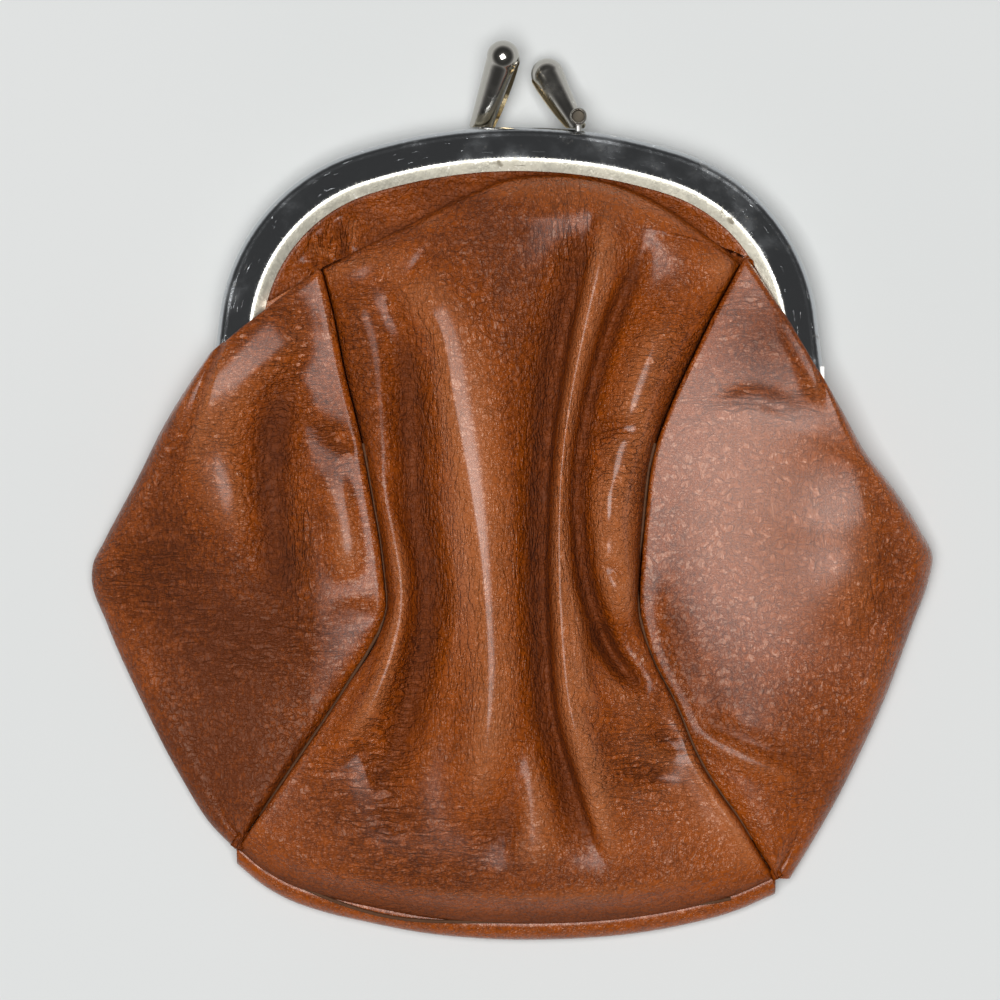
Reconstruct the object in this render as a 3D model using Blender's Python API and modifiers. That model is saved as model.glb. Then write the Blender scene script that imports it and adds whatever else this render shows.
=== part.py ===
"""A kiss lock coin purse lying on its back, clasp towards +Y and front towards +Z.

The origin is on the resting plane, under the middle of the hinge line. Lengths are in metres.
"""

import math

import bmesh
import bpy
import numpy as np
from mathutils import Matrix, Vector

MM = 0.001

# Clearances
SOFT_GAP = 0.3 * MM
RUN_GAP = 0.15 * MM
OVERRUN = 4.0 * MM

# Leather
LEATHER = 1.0 * MM
SEAM_GAP = 1.1 * MM
THREAD_RADIUS = 0.22 * MM

# Frame halves: a strip folded to a channel and bent to an arch
FRAME_WIDTH = 75.0 * MM
FRAME_HEIGHT = 33.4 * MM
CROWN_RADIUS = 65.0 * MM
SHOULDER_RADIUS = 24.0 * MM
LEG_LEAN_SHARE = 0.12
LEG_FOOT = 3.0 * MM
BAND = 5.4 * MM
HALF_DEPTH = 4.0 * MM
STRIP = 0.5 * MM
EDGE_ROUND = 1.1 * MM
HALVES_GAP = 0.3 * MM
EDGE_STEPS = 4
SHOULDER_STEPS = 9
CROWN_STEPS = 6

# Hinge
EAR_RADIUS = 2.5 * MM
EAR_NECK = 1.3 * MM
HINGE_PIN_RADIUS = 0.9 * MM
HINGE_HEAD_RADIUS = 1.7 * MM
HINGE_HEAD = 0.6 * MM
TURN_STEPS = 16

# Clasp pods
POD_HEAD_RADIUS = 2.1 * MM
POD_FOOT_RADIUS = 1.45 * MM
SLIM_FOOT_RADIUS = 1.05 * MM
POD_PITCH = 5.4 * MM
FIN = 0.4 * MM
FIN_THICKNESS = 0.35 * MM
BACK_POD_X = -4.6 * MM
FRONT_POD_X = 7.3 * MM
POD_REACH = 8.4 * MM
POD_RISE = 2.1 * MM
POD_LEAN_SHARE = 0.33
FRONT_POD_REACH_SHARE = 0.8
FRONT_POD_DROP_SHARE = 0.75
CUP_RADIUS = 1.15 * MM
CUP_DEPTH = 2.2 * MM
CUP_BORE_RADIUS = 0.6 * MM
CUP_BORE = 0.7 * MM
CUP_LIFT = 1.35 * MM
CLASP_PIN_RADIUS = 0.4 * MM
CLASP_PIN_REACH = 1.0 * MM
CLASP_HEAD_RADIUS = 0.85 * MM
CLASP_HEAD = 0.4 * MM
POD_STEPS = 14
POD_HEAD_TURN = math.radians(108)
POD_NECK_POWER = 1.35

# Paper cord that jams the leather in the channel
CORD_RADIUS = 0.6 * MM
CORD_INSET = 2.2 * MM
CORD_FOOT = 5.6 * MM
TUCK_INSET = 1.9 * MM
TUCK_HEIGHT = 18.2 * MM
RECESS = 4.2 * MM

# Pouch: lengths down from the hinge line
POUCH_DEPTH = 65.1 * MM
BEND_LINE = -4.75 * MM
ROLL_RADIUS = 2.0 * MM
ROLL_TURN = math.radians(155)
BOTTOM_HEIGHT = 4.7 * MM
BOTTOM_RISE = 6.0 * MM
BOTTOM_LIFT_SHARE = 0.15
CROWN_POWER = 2.4
CORNER_POWER = 6
WING_EDGE = 3.2 * MM
WING_TIP_EDGE = 1.9 * MM
WING_NECK_SHARE = 0.8
WING_NECK_LINE = -5.4 * MM
WING_PUFF = 0.9 * MM
SEAM_START_SHARE = 0.06
BOTTOM_SEAM_SHARES = (0.08, 0.92)

# Levels above the resting plane
BACK_FACE = LEATHER + SOFT_GAP
PART_PLANE = BACK_FACE + HALF_DEPTH + HALVES_GAP / 2
FRONT_FACE = 2 * PART_PLANE - BACK_FACE
SLOT_OUTER = FRONT_FACE - STRIP - RUN_GAP

# Heights of the front leather, at stations down the pouch
STATION_SHARES = (-1.0, -0.9, -0.78, -0.56, -0.31, -0.08, 0.08, 0.26, 0.5)
SEAM_HEIGHTS = tuple(
    mm * MM for mm in (4.7, 4.8, 6.4, 7.9, 8.5, 9.9, 10.9, 10.9, 10.9)
)
CREST_HEIGHTS = tuple(
    mm * MM for mm in (5.2, 7.8, 9.6, 10.8, 11.3, 12.2, 12.6, 12.4, 11.6)
)
WING_STATION_SHARES = (-0.85, -0.6, -0.32, -0.15, 0.0, 0.1)
WING_HALF_HEIGHTS = (2.2 * MM, 2.4 * MM, 2.8 * MM, 4.0 * MM, PART_PLANE, PART_PLANE)
WING_SQUARE_SHARES = (2.0, 2.0, 2.0, 2.4, 3.6, 4.6)

# Outline of the leather, in shares of the pouch depth, from the bottom up
LEFT_SEAM_SHARES = (
    (-0.520, -0.832), (-0.425, -0.687), (-0.313, -0.518), (-0.247, -0.392), (-0.258, -0.258),
    (-0.290, -0.071), (-0.322, 0.060), (-0.368, 0.252),
)
RIGHT_SEAM_SHARES = (
    (0.478, -0.880), (0.415, -0.779), (0.340, -0.668), (0.294, -0.556), (0.246, -0.462), (0.224, -0.389),
    (0.233, -0.220), (0.246, -0.108), (0.284, 0.003), (0.367, 0.172), (0.412, 0.252),
)
LEFT_FOLD_SHARES = (
    (-0.563, -0.838), (-0.637, -0.696), (-0.708, -0.556), (-0.770, -0.416), (-0.797, -0.345),
    (-0.785, -0.277), (-0.711, -0.137), (-0.634, 0.003), (-0.593, 0.072),
)
RIGHT_FOLD_SHARES = (
    (0.526, -0.892), (0.574, -0.789), (0.645, -0.649), (0.705, -0.509), (0.756, -0.369), (0.775, -0.322),
    (0.772, -0.276), (0.711, -0.183), (0.650, -0.089), (0.608, 0.018), (0.596, 0.072),
)
BOTTOM_SHARES = (
    (-0.560, -0.830), (-0.487, -0.882), (-0.412, -0.926), (-0.258, -0.985), (-0.034, -1.0), (0.190, -0.988),
    (0.339, -0.957), (0.415, -0.939), (0.505, -0.884),
)

# Folds of the front panel: path in shares of the pouch depth, height and half width
FRONT_FOLDS = (
    (((-0.05, 0.31), (-0.02, 0.0), (-0.01, -0.31), (-0.03, -0.61), (-0.06, -0.77)), 1.5 * MM, 4.6 * MM),
    (((0.14, 0.34), (0.086, 0.12), (0.058, -0.04), (0.05, -0.21), (0.052, -0.37), (0.065, -0.58),
      (0.10, -0.70), (0.134, -0.80)), -2.6 * MM, 2.3 * MM),
    (((0.185, 0.37), (0.13, 0.18), (0.105, 0.01), (0.085, -0.15), (0.083, -0.31), (0.09, -0.53),
      (0.12, -0.67), (0.15, -0.80)), 1.4 * MM, 2.2 * MM),
    (((0.27, 0.34), (0.195, 0.19), (0.14, 0.08), (0.12, -0.02), (0.105, -0.26), (0.13, -0.37),
      (0.17, -0.46), (0.20, -0.54)), -1.7 * MM, 2.0 * MM),
    (((0.33, 0.26), (0.25, 0.095), (0.185, -0.04), (0.185, -0.20), (0.185, -0.34)), 1.3 * MM, 3.0 * MM),
    (((-0.19, 0.19), (-0.206, -0.095), (-0.177, -0.315)), -1.5 * MM, 3.0 * MM),
    (((-0.225, -0.377), (-0.246, -0.46), (-0.294, -0.57), (-0.33, -0.65)), 1.1 * MM, 2.2 * MM),
    (((-0.19, -0.39), (-0.21, -0.53), (-0.26, -0.65)), -1.2 * MM, 2.2 * MM),
)

# Grids of the soft sheets
PANEL_COLUMNS = 22
PANEL_ROWS = 26
BACK_COLUMNS = 14
BACK_ROWS = 12
ROLL_ROWS = 6
TUCK_ROWS = 1
WING_ROWS = 16
WING_FRONT_COLUMNS = 7
WING_EDGE_COLUMNS = 8
WING_BACK_COLUMNS = 3
SEAM_STITCHES = 16


def material(name, colour, roughness, metallic=0.0):
    made = bpy.data.materials.new(name)
    made.use_nodes = True
    shader = made.node_tree.nodes["Principled BSDF"]
    shader.inputs["Base Color"].default_value = (*colour, 1.0)
    shader.inputs["Roughness"].default_value = roughness
    shader.inputs["Metallic"].default_value = metallic
    return made


def add_object(name, data, finish, home):
    """Links an object with this mesh or curve to the collection, with its own material."""
    placed = bpy.data.objects.new(name, data)
    if finish is not None:
        placed.data.materials.clear()
        placed.data.materials.append(finish)
    home.objects.link(placed)
    return placed


def hide_helper(helper):
    helper.hide_render = True
    helper.display_type = "WIRE"


def cut_or_join(target, operation, helper):
    """Adds a Boolean of the helper to the target."""
    change = target.modifiers.new(operation.title(), "BOOLEAN")
    change.operation = operation
    change.solver = "EXACT"
    change.object = helper


def box_helper(name, low, high):
    """A box between two corners, as a cutter."""
    shape = bmesh.new()
    bmesh.ops.create_cube(shape, size=1)
    size = Vector(high) - Vector(low)
    bmesh.ops.transform(shape, matrix=Matrix.Diagonal((*size, 1)), verts=shape.verts)
    bmesh.ops.translate(shape, vec=(Vector(high) + Vector(low)) / 2, verts=shape.verts)
    mesh = bpy.data.meshes.new(name)
    shape.to_mesh(mesh)
    shape.free()
    helper = add_object(name, mesh, None, cutters)
    hide_helper(helper)
    return helper


def rod_helper(name, radius, start, end):
    """A cylinder between two points, as a cutter."""
    start = Vector(start)
    run = Vector(end) - start
    shape = bmesh.new()
    bmesh.ops.create_cone(
        shape, cap_ends=True, segments=TURN_STEPS, radius1=radius, radius2=radius, depth=run.length
    )
    turn = run.to_track_quat("Z", "Y").to_matrix().to_4x4()
    bmesh.ops.transform(shape, matrix=Matrix.Translation(start + run / 2) @ turn, verts=shape.verts)
    mesh = bpy.data.meshes.new(name)
    shape.to_mesh(mesh)
    shape.free()
    helper = add_object(name, mesh, None, cutters)
    hide_helper(helper)
    return helper


def curve_data(name, points, dimensions="3D", cyclic=False):
    curve = bpy.data.curves.new(name, "CURVE")
    curve.dimensions = dimensions
    spline = curve.splines.new("POLY")
    spline.points.add(len(points) - 1)
    for place, point in zip(spline.points, points):
        place.co = (*point, 1.0) if len(point) == 3 else (*point, 0.0, 1.0)
    spline.use_cyclic_u = cyclic
    return curve


def as_mesh(shaped, finish, home):
    """Replaces a curve object by a closed mesh object of the same name and place."""
    bpy.context.view_layer.update()
    graph = bpy.context.evaluated_depsgraph_get()
    mesh = bpy.data.meshes.new_from_object(shaped.evaluated_get(graph))
    shape = bmesh.new()
    shape.from_mesh(mesh)
    bmesh.ops.remove_doubles(shape, verts=shape.verts, dist=STRIP / 100)
    open_edges = [edge for edge in shape.edges if edge.is_boundary]
    if open_edges:
        bmesh.ops.holes_fill(shape, edges=open_edges)
    bmesh.ops.recalc_face_normals(shape, faces=shape.faces)
    if shaped.matrix_world.determinant() < 0:
        bmesh.ops.reverse_faces(shape, faces=shape.faces)
    shape.to_mesh(mesh)
    shape.free()
    name = shaped.name
    place = shaped.matrix_world.copy()
    bpy.data.objects.remove(shaped)
    mesh.name = name
    made = add_object(name, mesh, finish, home)
    made.matrix_world = place
    return made


def flat_plate(name, outline, thickness, place, home):
    """A plate of this outline, its middle plane laid at the matrix."""
    curve = curve_data(name, outline, "2D", cyclic=True)
    curve.fill_mode = "BOTH"
    curve.extrude = thickness / 2
    plate = add_object(name, curve, None, home)
    plate.matrix_world = place
    return as_mesh(plate, None, home)


def tube(name, points, radius, finish, resolution=1):
    curve = curve_data(name, points)
    curve.bevel_depth = radius
    curve.bevel_resolution = resolution
    curve.use_fill_caps = True
    return add_object(name, curve, finish, purse)


def turned(name, profile, place, finish, home):
    """A profile of (radius, height) points, top to bottom, turned about the matrix's Z axis."""
    mesh = bpy.data.meshes.new(name)
    shape = bmesh.new()
    verts = [shape.verts.new((radius, 0, height)) for radius, height in profile]
    for first, second in zip(verts, verts[1:]):
        shape.edges.new((first, second))
    shape.to_mesh(mesh)
    shape.free()
    piece = add_object(name, mesh, finish, home)
    screw = piece.modifiers.new("Turn", "SCREW")
    screw.axis = "Z"
    screw.steps = TURN_STEPS
    screw.render_steps = TURN_STEPS
    screw.use_merge_vertices = True
    screw.merge_threshold = STRIP / 100
    piece.matrix_world = place
    return piece


def smooth_shade(piece, angle=math.radians(40)):
    piece.data.shade_smooth()
    piece.data.set_sharp_from_angle(angle=angle)


def through(stations, values, x):
    """A smooth curve through the values at the stations, as cubic pieces with averaged slopes."""
    stations = np.asarray(stations, float)
    values = np.asarray(values, float)
    slopes = np.gradient(values, stations, axis=0)
    x = np.clip(np.asarray(x, float), stations[0], stations[-1])
    index = np.clip(np.searchsorted(stations, x, side="right") - 1, 0, len(stations) - 2)
    width = stations[index + 1] - stations[index]
    t = (x - stations[index]) / width
    if values.ndim > 1:
        t = t[..., None]
        width = width[..., None]
    rise = t * t * (3 - 2 * t)
    lead = t * (1 - t) ** 2 * width
    tail = t * t * (t - 1) * width
    straight = values[index] * (1 - rise) + values[index + 1] * rise
    return straight + slopes[index] * lead + slopes[index + 1] * tail


def along(points, share):
    """Points at these shares of the length of a smooth path."""
    points = np.asarray(points, float)
    steps = np.linalg.norm(np.diff(points, axis=0), axis=1)
    length = np.concatenate([[0], np.cumsum(steps)])
    return through(length, points, np.asarray(share) * length[-1])


def smooth_step(x):
    x = np.clip(x, 0, 1)
    return x * x * (3 - 2 * x)


def distance_to(path, x, y):
    """Distance in the plane from each (x, y) to a path of straight pieces."""
    path = np.asarray(path, float)
    spot = np.stack([x, y], -1)
    nearest = np.full(x.shape, np.inf)
    for first, second in zip(path, path[1:]):
        run = second - first
        t = np.clip((spot - first) @ run / (run @ run), 0, 1)
        gap = np.linalg.norm(spot - first - t[..., None] * run, axis=-1)
        nearest = np.minimum(nearest, gap)
    return nearest


def beside(path, offset):
    """The path moved sideways in its plane, to its right for a positive offset."""
    path = np.asarray(path, float)
    run = np.gradient(path, axis=0)
    run /= np.linalg.norm(run, axis=1)[:, None]
    return path + offset * np.stack([run[:, 1], -run[:, 0]], -1)


def scaled(shares):
    return np.array(shares) * POUCH_DEPTH


def arch(inset, foot):
    """The arch at this distance inside its outer edge, from the left foot over the crown to the right foot."""
    lean = math.atan(LEG_LEAN_SHARE)
    out = np.array([math.cos(lean), math.sin(lean)])
    up = np.array([-math.sin(lean), math.cos(lean)])
    crown = np.array([0.0, FRAME_HEIGHT - CROWN_RADIUS])
    base = out * (FRAME_WIDTH / 2 * math.cos(lean) - SHOULDER_RADIUS)
    reach = (base - crown) @ up
    rest = (base - crown) @ (base - crown) - (CROWN_RADIUS - SHOULDER_RADIUS) ** 2
    shoulder = base + up * (math.sqrt(reach * reach - rest) - reach)
    meet = math.atan2(*(shoulder - crown)[::-1])
    foot_point = out * (FRAME_WIDTH / 2 * math.cos(lean) - inset)
    foot_point = foot_point + up * (foot - foot_point[1]) / up[1]
    turns = np.linspace(lean, meet, SHOULDER_STEPS + 1)
    bend = shoulder + (SHOULDER_RADIUS - inset) * np.stack([np.cos(turns), np.sin(turns)], -1)
    turns = np.linspace(meet, math.pi / 2, CROWN_STEPS + 1)[1:]
    top = crown + (CROWN_RADIUS - inset) * np.stack([np.cos(turns), np.sin(turns)], -1)
    right = np.concatenate([[foot_point], bend, top])
    left = right[:-1] * (-1, 1)
    return np.concatenate([left, right[::-1]])


def arch_height(x):
    """Height of the crown's outer edge over this place on the hinge line."""
    return FRAME_HEIGHT - CROWN_RADIUS + math.sqrt(CROWN_RADIUS**2 - x * x)


def mirrored_level(level):
    return 2 * PART_PLANE - level


for old in list(bpy.data.objects):
    bpy.data.objects.remove(old)
purse = bpy.data.collections.new("kiss_lock_coin_purse")
cutters = bpy.data.collections.new("cutters")
bpy.context.scene.collection.children.link(purse)
bpy.context.scene.collection.children.link(cutters)

hinge_axis = Vector((0, 0, PART_PLANE))
opening_half = bpy.data.objects.new("opening_half", None)
opening_half.location = hinge_axis
purse.objects.link(opening_half)


def moves_with_front(piece):
    """Parents a piece to the empty on the hinge axis and leaves it where it is."""
    piece.parent = opening_half
    piece.matrix_parent_inverse = Matrix.Translation(-hinge_axis)


# Frame halves
def channel_section(side):
    """Outline of the folded strip: inward distance from the arch's edge, and height from the parting face."""
    turns = np.linspace(0, math.pi / 2, EDGE_STEPS + 1)
    outer = [
        (EDGE_ROUND * (1 - math.sin(turn)), HALF_DEPTH - EDGE_ROUND * (1 - math.cos(turn)))
        for turn in turns
    ]
    inner = [(STRIP * (1 - math.cos(turn)), STRIP * (1 - math.sin(turn))) for turn in turns[::2]]
    outline = [(BAND, HALF_DEPTH), *outer, *inner, (BAND, 0)]
    outline += [(BAND, STRIP), (STRIP, STRIP), (STRIP, HALF_DEPTH - STRIP), (BAND, HALF_DEPTH - STRIP)]
    return [(inward, side * height) for inward, height in outline]


def frame_half(name, side, finish):
    """One channel along the arch, with its hinge ears. side is 1 for the front and -1 for the back."""
    outline = curve_data(name + "_section", channel_section(side), "2D", cyclic=True)
    section = add_object(name + "_section", outline, None, cutters)
    hide_helper(section)
    path = curve_data(name, [(*point, 0.0) for point in arch(0.0, LEG_FOOT)], "2D")
    path.bevel_mode = "OBJECT"
    path.bevel_object = section
    half = add_object(name, path, finish, purse)
    half.location = (0, 0, PART_PLANE + side * HALVES_GAP / 2)
    half = as_mesh(half, finish, purse)
    ear_outer = FRAME_WIDTH / 2 - LEG_LEAN_SHARE * LEG_FOOT
    if side < 0:
        ear_outer -= STRIP + RUN_GAP
    neck_top = LEG_FOOT + EAR_NECK
    start = math.asin(HALVES_GAP / 2 / EAR_RADIUS)
    turns = np.linspace(start, start - 1.5 * math.pi, TURN_STEPS)
    outline = [(neck_top, HALVES_GAP / 2 + STRIP / 4)]
    outline += [(EAR_RADIUS * math.cos(turn), EAR_RADIUS * math.sin(turn)) for turn in turns]
    outline.append((neck_top, HALF_DEPTH - EDGE_ROUND))
    for hand, word in ((-1, "left"), (1, "right")):
        centre = hand * (ear_outer - STRIP / 2)
        upright = Matrix(((0, 0, 1, centre), (1, 0, 0, 0), (0, side, 0, PART_PLANE), (0, 0, 0, 1)))
        ear = flat_plate(f"{name}_{word}_ear", outline, STRIP, upright, cutters)
        hide_helper(ear)
        cut_or_join(half, "UNION", ear)
        if side < 0:
            joggle = sorted((hand * (ear_outer - STRIP / 2), hand * (ear_outer + RUN_GAP + STRIP / 2)))
            low = (joggle[0], LEG_FOOT + STRIP / 2, BACK_FACE + EDGE_ROUND)
            high = (joggle[1], neck_top - STRIP / 4, PART_PLANE - HALVES_GAP)
            cut_or_join(half, "UNION", box_helper(f"{name}_{word}_joggle", low, high))
        hole_start = (hand * (ear_outer - STRIP - OVERRUN / 4), 0, PART_PLANE)
        hole_end = (hand * (ear_outer + OVERRUN / 4), 0, PART_PLANE)
        hole = rod_helper(f"{name}_{word}_hole", HINGE_PIN_RADIUS + RUN_GAP, hole_start, hole_end)
        cut_or_join(half, "DIFFERENCE", hole)
    return half


nickel = material("nickel_plate", (0.55, 0.54, 0.52), 0.22, 1.0)
front_frame = frame_half("front_frame", 1, nickel)
back_frame = frame_half("back_frame", -1, material("nickel_plate_back", (0.55, 0.54, 0.52), 0.22, 1.0))
moves_with_front(front_frame)


# Hinge rivets
def hinge_rivet(name, hand):
    """A turned rivet on the hinge axis, domed outside and flat inside."""
    outer = FRAME_WIDTH / 2 - LEG_LEAN_SHARE * LEG_FOOT + RUN_GAP
    inner = outer - 2 * RUN_GAP - 2 * STRIP - RUN_GAP
    dome = [
        (HINGE_HEAD_RADIUS * math.sin(turn), outer + HINGE_HEAD * math.cos(turn))
        for turn in np.linspace(0, math.pi / 2, 5)
    ]
    pin = [(HINGE_PIN_RADIUS, outer), (HINGE_PIN_RADIUS, inner)]
    flat_radius = (HINGE_HEAD_RADIUS + HINGE_PIN_RADIUS) / 2
    clench = [(flat_radius, inner), (flat_radius, inner - HINGE_HEAD / 2), (0, inner - HINGE_HEAD / 2)]
    place = Matrix.Translation(hinge_axis) @ Matrix.Rotation(hand * math.pi / 2, 4, "Y")
    finish = material(name + "_steel", (0.5, 0.49, 0.47), 0.3, 1.0)
    rivet = turned(name, dome + pin + clench, place, finish, purse)
    smooth_shade(rivet)
    return rivet


hinge_rivet("left_hinge_rivet", -1)
hinge_rivet("right_hinge_rivet", 1)


# Clasp pods
def pod_profile(length, foot_radius):
    """Teardrop from the crown of the head down to the foot: a ball that runs out into a slim neck."""
    turns = np.linspace(0, POD_HEAD_TURN, POD_STEPS // 2 + 1)
    head = [(POD_HEAD_RADIUS * math.sin(turn), length + POD_HEAD_RADIUS * math.cos(turn)) for turn in turns]
    last_radius, last_height = head[-1]
    shares = np.linspace(0, 1, POD_STEPS // 2)[1:]
    swell = last_radius - foot_radius
    neck = [
        (foot_radius + swell * (1 - share) ** POD_NECK_POWER, last_height * (1 - share)) for share in shares
    ]
    return head + neck + [(0, 0)]


def pod(name, foot, head, foot_radius, fin_hand, finish):
    """A teardrop with the seam fin on one flank, and the box that cuts its foot flat on the rail."""
    foot = Vector(foot)
    head = Vector(head)
    run = head - foot
    start = foot - run.normalized() * foot_radius
    length = (head - start).length
    up = run.normalized()
    across = Vector((fin_hand, 0, 0))
    across = (across - up * across.dot(up)).normalized()
    depth = across.cross(up)
    place = Matrix.Translation(start) @ Matrix((across, depth, up)).transposed().to_4x4()
    profile = pod_profile(length, foot_radius)
    piece = turned(name, profile, place, finish, purse)
    flank = [(radius + FIN, height) for radius, height in profile[2:-2]]
    outline = [(0, profile[2][1])] + flank + [(0, profile[-3][1])]
    plane = place @ Matrix.Rotation(math.pi / 2, 4, "X")
    fin = flat_plate(name + "_fin", outline, FIN_THICKNESS, plane, cutters)
    hide_helper(fin)
    cut_or_join(piece, "UNION", fin)
    seat = foot.y
    low = (foot.x - OVERRUN, seat - OVERRUN, foot.z - OVERRUN)
    high = (foot.x + OVERRUN, seat, foot.z + OVERRUN)
    return piece, box_helper(name + "_seat", low, high)


def clasp_rivet(name, seat_x, level, finish):
    """A small rivet through the top rail, its head inside the channel and its stem in the pod's foot."""
    rail = arch_height(seat_x)
    top = rail + SOFT_GAP + CLASP_PIN_REACH
    under = rail - STRIP - RUN_GAP
    profile = [(0, top), (CLASP_PIN_RADIUS, top), (CLASP_PIN_RADIUS, under), (CLASP_HEAD_RADIUS, under)]
    profile += [(CLASP_HEAD_RADIUS, under - CLASP_HEAD), (0, under - CLASP_HEAD)]
    place = Matrix.Translation((seat_x, 0, level)) @ Matrix.Rotation(-math.pi / 2, 4, "X")
    return turned(name, profile, place, finish, purse)


back_level = BACK_FACE + HALF_DEPTH / 2
front_level = mirrored_level(back_level)
pod_metal = material("pod_nickel", (0.5, 0.49, 0.46), 0.25, 1.0)
back_foot = (BACK_POD_X, arch_height(BACK_POD_X) + SOFT_GAP, back_level)
back_head = (BACK_POD_X + POD_LEAN_SHARE * POD_REACH, back_foot[1] + POD_REACH, PART_PLANE + POD_RISE)
back_pod, back_seat = pod("back_clasp_pod", back_foot, back_head, POD_FOOT_RADIUS, 1, pod_metal)
front_foot = (FRONT_POD_X, arch_height(FRONT_POD_X) + SOFT_GAP, front_level)
front_head = (
    back_head[0] + POD_PITCH,
    front_foot[1] + FRONT_POD_REACH_SHARE * POD_REACH,
    PART_PLANE - FRONT_POD_DROP_SHARE * POD_RISE,
)
front_pod_metal = material("pod_nickel_front", (0.5, 0.49, 0.46), 0.25, 1.0)
front_pod, front_seat = pod("front_clasp_pod", front_foot, front_head, SLIM_FOOT_RADIUS, -1, front_pod_metal)
cup_top = FRONT_FACE - SOFT_GAP
cup_at = (FRONT_POD_X, front_foot[1] + CUP_LIFT)
cup = rod_helper("front_clasp_cup", CUP_RADIUS, (*cup_at, cup_top - CUP_DEPTH), (*cup_at, cup_top))
cut_or_join(front_pod, "UNION", cup)
cup_low = (*cup_at, cup_top - CUP_BORE)
cup_bore = rod_helper("front_clasp_cup_bore", CUP_BORE_RADIUS, cup_low, (*cup_at, cup_top + OVERRUN))
cut_or_join(front_pod, "DIFFERENCE", cup_bore)
for piece, seat, at in ((back_pod, back_seat, back_foot), (front_pod, front_seat, front_foot)):
    cut_or_join(piece, "DIFFERENCE", seat)
    word = piece.name.split("_")[0]
    bore_start = (at[0], at[1] - OVERRUN, at[2])
    bore_end = (at[0], at[1] + CLASP_PIN_REACH + RUN_GAP, at[2])
    bore = rod_helper(word + "_clasp_bore", CLASP_PIN_RADIUS + RUN_GAP, bore_start, bore_end)
    cut_or_join(piece, "DIFFERENCE", bore)
    smooth_shade(piece)
cut_or_join(back_frame, "DIFFERENCE", bpy.data.objects["back_clasp_bore"])
cut_or_join(front_frame, "DIFFERENCE", bpy.data.objects["front_clasp_bore"])
steel = material("rivet_steel", (0.42, 0.41, 0.4), 0.35, 1.0)
clasp_rivet("back_clasp_rivet", BACK_POD_X, back_level, steel)
front_steel = material("rivet_steel_front", (0.42, 0.41, 0.4), 0.35, 1.0)
front_clasp_rivet = clasp_rivet("front_clasp_rivet", FRONT_POD_X, front_level, front_steel)
moves_with_front(front_pod)
moves_with_front(front_clasp_rivet)

# Paper cords
paper_level = PART_PLANE + HALVES_GAP / 2 + STRIP + RUN_GAP + CORD_RADIUS
cord_path = arch(CORD_INSET, CORD_FOOT)
for name, level in (("front_paper_cord", paper_level), ("back_paper_cord", mirrored_level(paper_level))):
    paper = material(name + "_paper", (0.62, 0.5, 0.34), 0.9)
    cord = tube(name, [(*point, level) for point in cord_path], CORD_RADIUS, paper)
    if name.startswith("front"):
        moves_with_front(cord)


# Leather
def sheet(name, columns, rows, surface, finish, home=None):
    """A grid bent to surface(u, v), its outer face on the surface, with the leather's thickness inside."""
    shape = bmesh.new()
    bmesh.ops.create_grid(shape, x_segments=columns, y_segments=rows, size=1)
    spots = np.array([vert.co[:2] for vert in shape.verts]) / 2 + 0.5
    points = surface(spots[:, 0], spots[:, 1])
    for vert, point in zip(shape.verts, points):
        vert.co = point
    mesh = bpy.data.meshes.new(name)
    shape.to_mesh(mesh)
    shape.free()
    piece = add_object(name, mesh, finish, home or purse)
    wall = piece.modifiers.new("Thickness", "SOLIDIFY")
    wall.thickness = LEATHER
    wall.offset = -1
    piece.data.shade_smooth()
    return piece


def arch_above(inset, height):
    """The part of the arch at this inset that lies above a height."""
    line = along(arch(inset, LEG_FOOT), np.linspace(0, 1, 200))
    return line[line[:, 1] > height]


left_seam = scaled(LEFT_SEAM_SHARES)
right_seam = scaled(RIGHT_SEAM_SHARES)
tuck = arch_above(TUCK_INSET, TUCK_HEIGHT)
mouth = arch_above(BAND + SOFT_GAP, TUCK_HEIGHT)
shares = np.linspace(0, 1, 60)
left_edge = beside(along(np.vstack([left_seam, mouth[:1]]), shares), SEAM_GAP / 2)
right_edge = beside(along(np.vstack([right_seam, mouth[-1:]]), shares), -SEAM_GAP / 2)
frame_edge = arch(0.0, LEG_FOOT)


def seam_height(y):
    return through(np.array(STATION_SHARES) * POUCH_DEPTH, SEAM_HEIGHTS, y)


def crest_height(y):
    return through(np.array(STATION_SHARES) * POUCH_DEPTH, CREST_HEIGHTS, y)


def patch(bottom, top, left, right, u, v):
    """A patch between four edges: the sum of the two ruled surfaces less the plane of the corners."""
    across_bottom = along(bottom, u)
    across_top = along(top, u)
    up_left = along(left, v)
    up_right = along(right, v)
    u = u[:, None]
    v = v[:, None]
    ruled = (1 - v) * across_bottom + v * across_top + (1 - u) * up_left + u * up_right
    corners = (1 - u) * (1 - v) * bottom[0] + u * (1 - v) * bottom[-1]
    corners = corners + (1 - u) * v * top[0] + u * v * top[-1]
    return ruled - corners


def edge_between(line, left, right):
    """The line trimmed and shifted so that its ends meet the two side edges."""
    spots = along(line, np.linspace(0, 1, 40))
    start = left[0] - spots[0]
    end = right[0] - spots[-1]
    share = np.linspace(0, 1, 40)[:, None]
    return spots + (1 - share) ** CORNER_POWER * start + share**CORNER_POWER * end


def panel_plan(bottom, u, v, rows):
    """Places of a panel's grid: a patch up to the mouth of the channel, then the tuck inside it."""
    share = rows / (rows + TUCK_ROWS)
    spots = patch(bottom, mouth_between, left_edge, right_edge, u, np.clip(v / share, 0, 1))
    tucked = np.clip((v - share) / (1 - share), 0, 1)[:, None]
    return spots + (along(tuck, u) - along(mouth_between, u)) * tucked


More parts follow.
